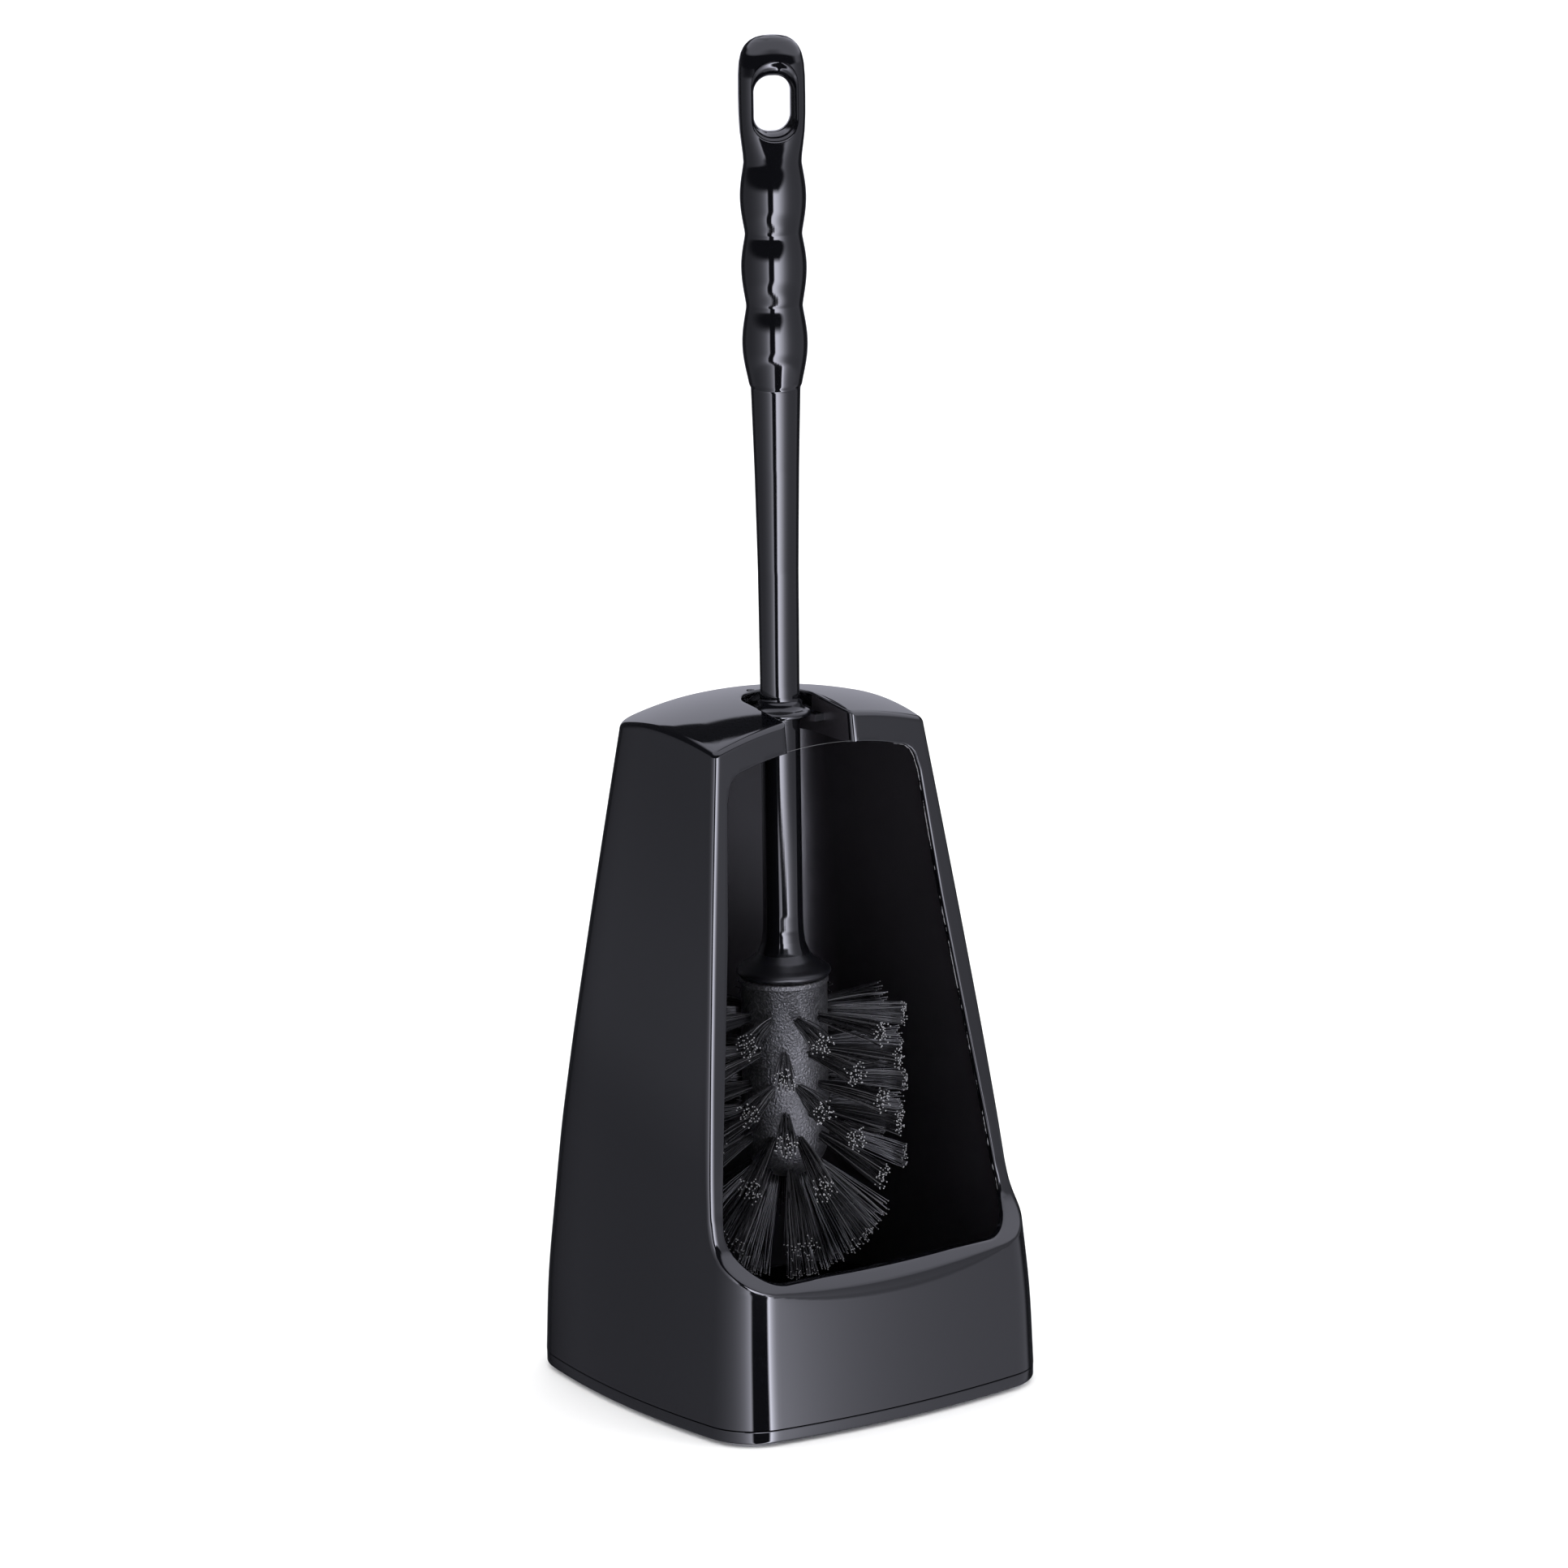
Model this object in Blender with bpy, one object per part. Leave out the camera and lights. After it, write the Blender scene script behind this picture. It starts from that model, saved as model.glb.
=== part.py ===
"""Toilet brush holder: open-fronted housing on a drip tray, with a hanging brush.

Lengths are in millimetres here and become metres when a mesh is made.
The front faces -Y, Z is up, and the origin is the middle of the footprint on the floor.
"""

from math import atan2, acos, cos, hypot, pi, radians, sin, sqrt

import bpy
import bmesh
import numpy as np
from mathutils import Vector

MM = 0.001
GAP = 0.3                      # clearance between neighbouring pieces

# ---- holder ---------------------------------------------------------------
FOOT_H = 1.2                   # anti-slip pads
FOOT_R = 10.0
FOOT_CENTRE = 46.2
TRAY_TOP = 5.3                 # rim of the drip tray
SHELL_BASE = TRAY_TOP + 0.35   # the shell stands on the tray with a seam line
WALL = 2.2
CORNER_FOOT_R = 15.0           # plan size of the tapering body's corners, at its foot
CORNER_TOP_R = 9.0             # and at its top
BULGE = 3.6                    # how far each side swells between its corners
FRONT_EDGE_R = 2.4             # radius where the cut front meets the sides
TOP_EDGE_R = 2.0
FRONT_TOP_Y = -21.4            # cut front plane at FRONT_TOP_Z
FRONT_TOP_Z = 212.0
FRONT_SLOPE = 0.13             # forward run of the cut front per mm of drop
DOME_Z = 218.2                 # crown of the top
DOME_Y = 3.5
DOME_RX = 131.0
DOME_RY = 112.0

# height and half-width of the body, measured at its corners
WIDTH_STATIONS = ((0, 60.1), (30, 59.0), (50, 57.3), (80, 54.7), (110, 51.3),
                  (150, 46.3), (190, 41.1), (205, 39.1), (240, 34.5))
# foot of the front cut: it sweeps forward to meet the cup below the window
SWEEP = ((77.0, -38.95), (68.0, -40.2), (62.0, -41.9), (58.0, -44.6), (54.9, -48.0),
         (52.2, -51.4), (50.0, -54.3), (48.0, -56.9), (46.6, -58.6), (45.4, -59.9),
         (44.0, -61.2), (42.0, -62.8))

SLOT_HALF = 11.8               # channel that the shaft passes through
SLOT_EDGE_R = 2.4
CHANNEL_WALL = 2.0
CHANNEL_BOTTOM = 205.4
LEDGE_TOP = 212.2              # shelf that the collar hangs on
LEDGE_T = 2.2
LEDGE_GAP_HALF = 7.6           # the shaft's way through the shelf
WINDOW_BOTTOM = 49.4
# height and half-width of the window, from its foot to its shoulder
WINDOW_SIDES = ((64.0, 51.6), (81.0, 49.7), (118.0, 44.8), (154.0, 40.0), (195.0, 35.7))

# ---- brush ----------------------------------------------------------------
HANDLE_TOP = 423.4
HEAD_TURN = -25.0              # degrees, how the hanging loop faces round the axis
CORE_R = 13.5
CORE_TOP = 129.2
CORE_END_Z = 78.0              # middle of the core's round end
TUFT_ROOT_R = 1.6
TUFT_DEPTH = 5.0
BRUSH_R = 38.0
BRUSH_END_Z = 76.0             # where the brush starts to round off
BRUSH_END_H = 43.9             # height of its round end
PER_RING = 10
RING_Z = (117.7, 106.7, 96.0, 87.4, 79.5)
RING_DIP = (0.0, 0.0, 0.0, 4.0, 20.0)
RING_TURN = 1.5                # degrees, where the first ring starts
TUFT_TIP_R = 4.0
TUFT_SIDES = 8


# ---- looks: base colour, roughness -------------------------------------------
GLOSS_BLACK = ("gloss_black", (0.012, 0.013, 0.016), 0.12)
CORE_BLACK = ("matte_black", (0.022, 0.022, 0.024), 0.55)
BRISTLE_BLACK = ("bristle_black", (0.018, 0.018, 0.020), 0.38)
PAD_GREY = ("pad_grey", (0.24, 0.24, 0.25), 0.75)


def clear_scene():
    for obj in list(bpy.data.objects):
        bpy.data.objects.remove(obj, do_unlink=True)


def paint(obj, look):
    """Gives an object its material, made the first time it is asked for."""
    name, colour, roughness = look
    mat = bpy.data.materials.get(name) or bpy.data.materials.new(name)
    mat.use_nodes = True
    shader = mat.node_tree.nodes["Principled BSDF"]
    shader.inputs["Base Color"].default_value = (*colour, 1.0)
    shader.inputs["Roughness"].default_value = roughness
    shader.inputs["Metallic"].default_value = 0.0
    obj.data.materials.clear()
    obj.data.materials.append(mat)
    obj.data.shade_smooth()
    obj.data.set_sharp_from_angle(angle=radians(35))


def pivot(name, height, parent=None):
    """An empty on the brush's axis that a moving body hangs from."""
    empty = bpy.data.objects.new(name, None)
    empty.location = (0.0, 0.0, height * MM)
    empty.empty_display_size = 0.02
    bpy.context.scene.collection.objects.link(empty)
    if parent:
        adopt(parent, empty)
    return empty


def adopt(parent, obj):
    """Parents obj without moving it."""
    bpy.context.view_layer.update()
    obj.parent = parent
    obj.matrix_parent_inverse = parent.matrix_world.inverted()


def interpolate(z, stations):
    zs = [s[0] for s in stations]
    return float(np.interp(z, zs, [s[1] for s in stations]))


def smooth_stations(stations, step):
    """The same profile with its joints rounded, as a fine table."""
    zs = np.arange(stations[0][0], stations[-1][0] + step, step)
    vals = np.interp(zs, [s[0] for s in stations], [s[1] for s in stations])
    for _ in range(3):
        inner = (vals[:-2] + vals[1:-1] + vals[2:]) / 3
        vals = np.concatenate([vals[:1], inner, vals[-1:]])
    return zs, vals


WIDTH_Z, WIDTH_V = smooth_stations(WIDTH_STATIONS, 4.0)
SWEEP_UP = SWEEP[::-1]


def half_width(z):
    return float(np.interp(z, WIDTH_Z, WIDTH_V))


def bulge(z):
    return BULGE * (1.0 - 0.55 * z / DOME_Z)


def front_y(z):
    """Y of the cut front at this height. Below the sweep there is no cut."""
    if z >= SWEEP[0][0]:
        return FRONT_TOP_Y - FRONT_SLOPE * (FRONT_TOP_Z - z)
    return interpolate(z, SWEEP_UP) if z > SWEEP_UP[0][0] else -200.0


def dome(x, y):
    return DOME_Z - x * x / (2 * DOME_RX) - (y - DOME_Y) ** 2 / (2 * DOME_RY)


def make(name, verts, faces, hide=False):
    mesh = bpy.data.meshes.new(name)
    mesh.from_pydata([tuple(c * MM for c in v) for v in verts], [], faces)
    mesh.update()
    obj = bpy.data.objects.new(name, mesh)
    bpy.context.scene.collection.objects.link(obj)
    if hide:
        helper(obj)
    return obj


def helper(obj):
    obj.hide_render = True
    obj.display_type = "WIRE"


def loft(name, rings, hide=False, crowned=False):
    """A closed solid through rings of equal length, counter-clockwise from above and rising."""
    n = len(rings[0])
    verts = [tuple(p) for ring in rings for p in ring]
    faces = []
    for k in range(len(rings) - 1):
        for i in range(n):
            j = (i + 1) % n
            faces.append((k * n + i, k * n + j, (k + 1) * n + j, (k + 1) * n + i))
    faces.append(tuple(range(n))[::-1])
    last = (len(rings) - 1) * n
    if crowned:
        verts.append(tuple(np.mean(np.array(rings[-1]), axis=0)))
        faces += [(len(verts) - 1, last + i, last + (i + 1) % n) for i in range(n)]
    else:
        faces.append(tuple(last + i for i in range(n)))
    return make(name, verts, faces, hide)


def lathe(name, profile, n, centre=(0.0, 0.0), hide=False):
    """A solid of revolution about a vertical axis. profile runs upwards as (radius, z)."""
    rings = []
    for r, z in profile:
        rings.append([(centre[0] + r * cos(2 * pi * i / n), centre[1] + r * sin(2 * pi * i / n), z)
                      for i in range(n)])
    return loft(name, rings, hide)


def boolean(target, cutter, operation):
    mod = target.modifiers.new(operation.lower(), "BOOLEAN")
    mod.operation = operation
    mod.solver = "EXACT"
    mod.object = cutter
    bpy.context.view_layer.update()
    graph = bpy.context.evaluated_depsgraph_get()
    done = bpy.data.meshes.new_from_object(target.evaluated_get(graph))
    target.modifiers.clear()
    old = target.data
    target.data = done
    bpy.data.meshes.remove(old)
    bpy.data.objects.remove(cutter, do_unlink=True)


# ---- housing ---------------------------------------------------------------
FRONT_N, TURN_N, SIDE_N, ARC_N, BACK_N = 12, 5, 5, 4, 6


def along(points, n):
    """n + 1 points evenly spaced along a polyline."""
    points = np.array(points, float)
    lengths = np.concatenate([[0], np.cumsum(np.linalg.norm(np.diff(points, axis=0), axis=1))])
    wanted = np.linspace(0, lengths[-1], n + 1)
    return np.stack([np.interp(wanted, lengths, points[:, k]) for k in (0, 1)], axis=1)


def corner(z, half, swell, inset):
    """A corner's size, the radius and tilt of the arc that meets both swelling sides."""
    size = CORNER_FOOT_R + (CORNER_TOP_R - CORNER_FOOT_R) * z / DOME_Z - inset
    tilt = atan2(2 * swell, half - size)
    return size, size / (cos(tilt) - sin(tilt)), tilt


def section(z, inset, edge_r):
    """Outline of the body at height z, moved inwards by inset. Counter-clockwise from the front left."""
    w = half_width(z) - inset
    h = w - 0.3
    s = bulge(z)
    size, r, tilt = corner(z, w, s, inset)
    flat, deep = w - size, h - size
    cx, cy = flat - r * sin(tilt), r * cos(tilt) - h
    cut = front_y(z) + inset
    swell = lambda t, half: s * max(0.0, 1 - (t / half) ** 2)
    if cut <= -h:
        a0 = tilt
    elif cut < -deep:
        a0 = acos((cy - cut) / r)
    else:
        a0 = None
    side_at = lambda y: w + swell(y, deep)
    if a0 is None:
        x_edge = side_at(cut)
        turn = [(x_edge - edge_r + edge_r * sin(a), cut + edge_r - edge_r * cos(a))
                for a in np.linspace(0, pi / 2, 9)]
        side_from = cut + edge_r
        turn[-1] = (side_at(side_from), side_from)
        front_x = x_edge - edge_r
    else:
        turn = [(cx + r * sin(a), cy - r * cos(a)) for a in np.linspace(a0, pi / 2 - tilt, 17)]
        side_from = -deep
        front_x = turn[0][0]
    turn = along(turn, TURN_N)
    front = []
    for x in np.linspace(-front_x, front_x, FRONT_N + 1):
        y = -h - swell(x, flat) if abs(x) <= flat else cy - sqrt(max(r * r - (abs(x) - cx) ** 2, 0))
        front.append((x, max(y, cut)))
    side = [(side_at(y), y) for y in np.linspace(side_from, deep, SIDE_N + 1)]
    arc = [(cx + r * cos(a), r * sin(a) - cy) for a in np.linspace(tilt, pi / 2 - tilt, ARC_N + 1)]
    back = [(x, h + swell(x, flat)) for x in np.linspace(flat, -flat, BACK_N + 1)]
    mirror = lambda run: [(-x, y) for x, y in reversed(list(run))]
    loop = []
    for run in (front, turn, side, arc, back, mirror(arc), mirror(side), mirror(turn)):
        loop.extend(tuple(p) for p in list(run)[:-1])
    return np.array(loop)


def body(name, stations, inset, edge_r, top_r, hide=False):
    """The tapering body with its cut front and its crowned top, moved inwards by inset."""
    rings = [[(x, y, z) for x, y in section(z, inset, edge_r)] for z in stations]
    low_z, high_z = stations[-1], DOME_Z
    low, high = section(low_z, inset, edge_r), section(high_z, inset, edge_r)
    roof = lambda p: dome(p[0], p[1]) - inset
    edge = low.copy()
    zs = np.full(len(low), low_z)
    for _ in range(4):
        zs = np.array([roof(p) for p in edge]) - top_r
        share = ((zs - low_z) / (high_z - low_z))[:, None]
        edge = low + (high - low) * share
    tangent = np.roll(edge, -1, axis=0) - np.roll(edge, 1, axis=0)
    inward = np.stack([-tangent[:, 1], tangent[:, 0]], axis=1)
    inward /= np.linalg.norm(inward, axis=1)[:, None]
    steps = (0, 30, 60, 90) if top_r else (90,)
    for deg in steps:
        a = radians(deg)
        moved = edge + inward * top_r * (1 - cos(a))
        rings.append([(p[0], p[1], roof(p) - top_r * (1 - sin(a))) for p in moved])
    rim = edge + inward * top_r
    hub = np.array([0.0, 6.0])
    for share in (0.72, 0.42, 0.16):
        moved = hub + (rim - hub) * share
        rings.append([(p[0], p[1], roof(p)) for p in moved])
    return loft(name, rings, hide, crowned=True)


def plan_prism(name, outline, low, high, hide=True):
    return loft(name, [[(x, y, low) for x, y in outline], [(x, y, high) for x, y in outline]], hide)


def channel_outline(half, front, flare=0.0, round_n=16):
    """A U in plan round the brush axis, open to the front, its mouth flared by the edge radius."""
    points = []
    if flare:
        points.append((-half - flare, front - 40))
        points.append((-half - flare, front))
        for a in np.linspace(75, 0, 6):
            points.append((-half - flare * (1 - cos(radians(a))), front + flare - flare * sin(radians(a))))
    else:
        points.append((-half, front))
    for a in np.linspace(180, 0, round_n + 1):
        points.append((half * cos(radians(a)), half * sin(radians(a))))
    left = len(points) - round_n - 1
    points += [(-x, y) for x, y in reversed(points[:left])]
    return points[::-1]


def shelf_outline():
    """The horseshoe that the collar hangs on, its outer edge inside the channel wall."""
    outer, inner, tip = SLOT_HALF + 0.8, LEDGE_GAP_HALF, -6.5
    rim = [(outer * cos(radians(a)), outer * sin(radians(a))) for a in range(0, 181, 15)]
    gap = [(inner * cos(radians(a)), inner * sin(radians(a))) for a in range(180, -1, -15)]
    ends = [(-outer, tip), (-inner - 1.2, tip), (-inner, tip + 1.6)]
    return [(inner + 1.2, tip), (outer, tip)] + rim + ends \
        + gap + [(inner, tip + 1.6)]


def window_outline():
    """The window seen from the front, counter-clockwise."""
    right = []
    foot_x, foot_z = WINDOW_SIDES[0][1], WINDOW_SIDES[0][0]
    run, rise = 14.0, foot_z - WINDOW_BOTTOM
    for x in (0.0, 12.0, 24.0):
        right.append((x, WINDOW_BOTTOM - 0.35 + 0.35 * (x / 24.0) ** 2))
    for a in np.linspace(-90, 0, 9):
        right.append((foot_x - run + run * cos(radians(a)), foot_z + rise * sin(radians(a))))
    for z, x in WINDOW_SIDES[1:]:
        right.append((x, z))
    shoulder = 6.5
    top_x, top_z = WINDOW_SIDES[-1][1], WINDOW_SIDES[-1][0]
    for a in np.linspace(12, 80, 6):
        right.append((top_x - 0.7 - shoulder + shoulder * cos(radians(a)),
                      top_z + 1.4 + shoulder * sin(radians(a))))
    for x in (19.0, 10.0):
        right.append((x, 206.6 - 0.0042 * x * x))
    left = [(-x, z) for x, z in reversed(right) if x > 0]
    return right + [(0.0, 206.6)] + left


def build_housing():
    outer_z = (SHELL_BASE, 16, 26, 35, 41.5, 44.2, 45.3, 46.2, 47.2, 48.6, 50.6, 52.6, 54.9, 58, 62,
               68, 77, 96, 118, 140, 162, 184, 203)
    shell = body("housing", outer_z, 0.0, FRONT_EDGE_R, TOP_EDGE_R)
    inner_z = (2, 20, 35, 43.5, 46.2, 48.6, 50.6, 52.6, 54.9, 58, 62, 68, 77, 104, 132, 160, 186, 202)
    boolean(shell, body("hollow", inner_z, WALL, 0.7, 0.0, True), "DIFFERENCE")
    # walls of the channel, cut to the crowned top
    wall_half = SLOT_HALF + CHANNEL_WALL
    u = channel_outline(wall_half, FRONT_TOP_Y - 8.0)
    walls = plan_prism("walls", u, CHANNEL_BOTTOM, 230.0)
    boolean(walls, body("trim", (180, 192, 203), 1.1, 1.4, 0.0, True), "INTERSECT")
    boolean(shell, walls, "UNION")
    # the window through the cut front
    outline = window_outline()
    ends = [[(x, y, z) for x, z in outline] for y in (-90.0, -19.2)]
    window = loft("window", ends, True)
    flip(window)
    boolean(shell, window, "DIFFERENCE")
    # the channel, its mouth following the slope of the cut front, and the shelf left in it
    low, high = 198.0, 240.0
    slot = [[(x, y, z) for x, y in channel_outline(SLOT_HALF, front_y(z), SLOT_EDGE_R)]
            for z in (low, high)]
    boolean(shell, loft("slot", slot, True), "DIFFERENCE")
    boolean(shell, plan_prism("shelf", shelf_outline(), LEDGE_TOP - LEDGE_T, LEDGE_TOP), "UNION")
    # moulding gate on the crown, a shallow nub behind the recess
    spot = (-1.7, 13.6)
    top = dome(*spot)
    gate = lathe("gate", ((1.2, top - 0.7), (1.2, top + 0.15), (0.6, top + 0.4)), 10, spot, True)
    boolean(shell, gate, "UNION")
    paint(shell, GLOSS_BLACK)
    return shell


def flip(obj):
    bm = bmesh.new()
    bm.from_mesh(obj.data)
    bmesh.ops.recalc_face_normals(bm, faces=bm.faces)
    bm.to_mesh(obj.data)
    bm.free()


# ---- drip tray and pads -----------------------------------------------------
def tray_section(z, inset):
    return [(x, y, z) for x, y in section(8.0, inset, 2.0)]


def build_tray():
    spigot = WALL + 0.45
    rings = [tray_section(FOOT_H, 1.0), tray_section(FOOT_H + 0.5, 0.25), tray_section(FOOT_H + 1.2, 0.0),
             tray_section(TRAY_TOP, 0.0), tray_section(TRAY_TOP, spigot), tray_section(13.0, spigot + 0.15),
             tray_section(13.8, spigot + 0.6)]
    tray = loft("base_tray", rings)
    well = loft("well", [tray_section(FOOT_H + 2.0, spigot + 5.0), tray_section(FOOT_H + 3.2, spigot + 2.4),
                         tray_section(14.5, spigot + 1.9)], True)
    boolean(tray, well, "DIFFERENCE")
    paint(tray, GLOSS_BLACK)
    return tray


def build_feet():
    """Four equal pads that share one mesh."""
    feet = []
    for side, x in (("left", -FOOT_CENTRE), ("right", FOOT_CENTRE)):
        for end, y in (("front", -FOOT_CENTRE - 0.5), ("back", FOOT_CENTRE + 0.5)):
            name = f"foot_{end}_{side}"
            if feet:
                foot = bpy.data.objects.new(name, feet[0].data)
                bpy.context.scene.collection.objects.link(foot)
            else:
                foot = lathe(name, ((FOOT_R - 0.5, 0.0), (FOOT_R, 0.4), (FOOT_R, FOOT_H)), 24)
            foot.location = (x * MM, y * MM, 0.0)
            feet.append(foot)
    paint(feet[0], PAD_GREY)
    return feet


# ---- handle -------------------------------------------------------------------
STUD_BOTTOM = 112.0
STUD_R = 4.6
# radius and height of the turned bell, shaft and collar, from the stud upwards
SHAFT_PROFILE = (
    (STUD_R - 0.8, STUD_BOTTOM), (STUD_R, STUD_BOTTOM + 1.0), (STUD_R, CORE_TOP + GAP),
    (13.6, CORE_TOP + GAP), (14.6, CORE_TOP + 1.0), (14.9, CORE_TOP + 1.9), (14.2, CORE_TOP + 2.7),
    (12.2, CORE_TOP + 3.8), (9.8, CORE_TOP + 5.4), (7.9, CORE_TOP + 7.8), (6.8, CORE_TOP + 10.8),
    (6.35, CORE_TOP + 14.6), (6.2, CORE_TOP + 20.0), (6.15, 185.0), (6.1, 212.4),
    (9.9, 212.6), (10.2, 213.1), (10.1, 213.9), (9.5, 214.4), (8.0, 214.9), (7.2, 215.7), (6.8, 216.8),
    (6.15, 217.4), (6.1, 222.0), (6.3, 258.0), (6.55, 272.0), (6.9, 290.0), (7.3, 304.0), (7.65, 315.4))
# waists and crests of the finger grip, in turn
GRIP = ((8.1, 315.9), (10.05, 329.0), (8.65, 340.4), (10.05, 352.4), (8.75, 362.6),
        (10.15, 374.0), (8.9, 384.6))
GRIP_STEPS = 5
# the loop above it: height, half-width, half-depth and how square its section is
LOOP_STATIONS = (
    (387.0, 9.05, 8.5, 2.1), (390.0, 9.4, 8.0, 2.35), (394.0, 9.85, 7.4, 2.7), (399.0, 10.1, 7.1, 2.9),
    (405.0, 10.15, 7.0, 3.0), (411.0, 10.1, 6.9, 3.0), (415.0, 9.85, 6.7, 2.9), (418.0, 9.25, 6.2, 2.7),
    (420.2, 8.2, 5.4, 2.5), (421.8, 6.7, 4.4, 2.3), (422.8, 4.9, 3.2, 2.1), (423.3, 2.6, 1.7, 2.0))
AROUND = 24


def turned(x, y, z):
    a = radians(HEAD_TURN)
    return (x * cos(a) - y * sin(a), x * sin(a) + y * cos(a), z)


def squarish(half_x, half_y, power, z):
    ring = []
    for i in range(AROUND):
        a = 2 * pi * i / AROUND
        c, s = cos(a), sin(a)
        scale = (abs(c) ** power + abs(s) ** power) ** (-1 / power)
        ring.append(turned(half_x * c * scale, half_y * s * scale, z))
    return ring


def slab_ring(half_x, low, high, radius, depth):
    """A rounded upright rectangle at one depth, for cutting the hanging hole."""
    ring = []
    radius = min(radius, half_x - 0.05)
    for cx, cz, start in ((1, -1, -90), (1, 1, 0), (-1, 1, 90), (-1, -1, 180)):
        mx = cx * (half_x - radius)
        mz = (low + radius) if cz < 0 else (high - radius)
        for a in np.linspace(start, start + 90, 6):
            ring.append(turned(mx + radius * cos(radians(a)), depth, mz + radius * sin(radians(a))))
    return ring


def grip_profile():
    """The finger grip: round swells with tight waists between them."""
    points = []
    for (r0, z0), (r1, z1) in zip(GRIP, GRIP[1:]):
        for k in range(GRIP_STEPS):
            t = k / GRIP_STEPS
            rising = r1 > r0
            share = sin(pi / 2 * (t if rising else 1 - t)) ** 1.15
            waist, crest = (r0, r1) if rising else (r1, r0)
            points.append((waist + (crest - waist) * share, z0 + (z1 - z0) * t))
    return points + [GRIP[-1]]


def build_handle():
    rings = [squarish(r, r, 2.0, z) for r, z in SHAFT_PROFILE + tuple(grip_profile())]
    rings += [squarish(hx, hy, power, z) for z, hx, hy, power in LOOP_STATIONS]
    handle = loft("handle", rings)
    funnel = ((7.7, 391.2, 417.0, 7.2), (7.1, 391.9, 415.4, 6.7), (6.2, 393.2, 412.4, 5.8),
              (5.8, 394.0, 411.2, 5.2))
    depths = (-8.0, -5.6, -3.8, -1.6)
    rings = [slab_ring(*funnel[k], depths[k]) for k in range(4)]
    rings += [slab_ring(*funnel[k], -depths[k]) for k in (3, 2, 1, 0)]
    hole = loft("hanging_hole", rings, True)
    flip(hole)
    boolean(handle, hole, "DIFFERENCE")
    paint(handle, GLOSS_BLACK)
    return handle


# ---- brush head and tufts -----------------------------------------------------
def tuft_frame(height, angle, dip):
    """The point where a tuft leaves the core, and the way it points."""
    a, d = radians(angle), radians(dip)
    way = Vector((cos(a) * cos(d), sin(a) * cos(d), -sin(d)))
    if height >= CORE_END_Z:
        at = Vector((cos(a) * CORE_R, sin(a) * CORE_R, height))
    else:
        drop = CORE_END_Z - height
        r = sqrt(CORE_R ** 2 - drop ** 2)
        at = Vector((cos(a) * r, sin(a) * r, height))
    return at, way


def reach(at, way):
    """How far a tuft runs before it meets the trimmed outline of the brush."""
    run = 1.0
    while run < 80:
        p = at + way * run
        if p.z >= BRUSH_END_Z:
            outside = hypot(p.x, p.y) >= BRUSH_R
        else:
            outside = hypot(hypot(p.x, p.y) / BRUSH_R, (p.z - BRUSH_END_Z) / BRUSH_END_H) >= 1.0
        if outside:
            return run
        run += 0.1
    return run


def solid_tuft(name, at, way, root_r, tip_r, start, end, hide=False):
    """A tuft as one flared solid, made along its own Z and then placed and turned."""
    obj = lathe(name, ((root_r, start), (root_r, 0.8), (tip_r, end)), TUFT_SIDES, hide=hide)
    obj.location = at * MM
    obj.rotation_euler = way.to_track_quat("Z", "Y").to_euler()
    return obj


def tuft_list():
    """(name, point, direction) of every side tuft."""
    found = []
    for ring, (z, dip) in enumerate(zip(RING_Z, RING_DIP)):
        for k in range(PER_RING):
            angle = 360.0 / PER_RING * (k + 0.5 * (ring % 2)) + RING_TURN
            at, way = tuft_frame(z, angle, dip)
            found.append((f"tuft_{ring + 1}_{k + 1:02d}", at, way))
    return found


# the two lowest rings, each one node: name, root radius, dip, number, turn, hub radius and hub heights
CROWNS = (("tuft_crown_side", 9.5, 45.0, 8, 19.5, 6.4, 71.5, 75.4),
          ("tuft_crown_end", 4.6, 71.0, 5, 37.5, 4.4, 68.2, 69.8))


def crown_rows(root, dip, count, turn):
    height = CORE_END_Z - sqrt(CORE_R ** 2 - root ** 2)
    return [tuft_frame(height, 360.0 / count * k + turn, dip) for k in range(count)]


def crown_start(at, hub_low, hub_high, way):
    """Where a crown tuft begins, so that it ends inside its hub."""
    return -((hub_low + hub_high) / 2 - at.z) / -way.z


def build_brush_head():
    bead = CORE_TOP - 1.6
    profile = [(1.2, CORE_END_Z - CORE_R + 0.05)]
    for a in np.linspace(-80, 0, 9):
        profile.append((CORE_R * cos(radians(a)), CORE_END_Z + CORE_R * sin(radians(a))))
    profile += [(CORE_R, 104.0), (CORE_R, bead - 0.3), (CORE_R + 0.4, bead), (CORE_R + 0.4, CORE_TOP - 0.3),
                (CORE_R, CORE_TOP)]
    core = lathe("brush_head", profile, 40)
    bore = STUD_R + GAP
    socket = lathe("socket", ((bore, STUD_BOTTOM - 1.5), (bore, CORE_TOP + 3.0)), 24, (0, 0), True)
    boolean(core, socket, "DIFFERENCE")
    holes = [solid_tuft(name, at, way, TUFT_ROOT_R + GAP, TUFT_ROOT_R + GAP, -TUFT_DEPTH - GAP, 4.0, True)
             for name, at, way in tuft_list()]
    boolean(core, joined("holes", holes), "DIFFERENCE")
    for name, root, dip, count, turn, hub_r, low, high in CROWNS:
        pocket = lathe("pocket", ((hub_r + GAP, low - GAP), (hub_r + GAP, high + GAP)), 24, (0, 0), True)
        boolean(core, pocket, "DIFFERENCE")
        holes = []
        for k, (at, way) in enumerate(crown_rows(root, dip, count, turn)):
            start = crown_start(at, low, high, way)
            wide = TUFT_ROOT_R + GAP
            holes.append(solid_tuft(f"hole_{k}", at, way, wide, wide, start, 6.0, True))
        boolean(core, joined("holes", holes), "DIFFERENCE")
    paint(core, CORE_BLACK)
    return core


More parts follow.
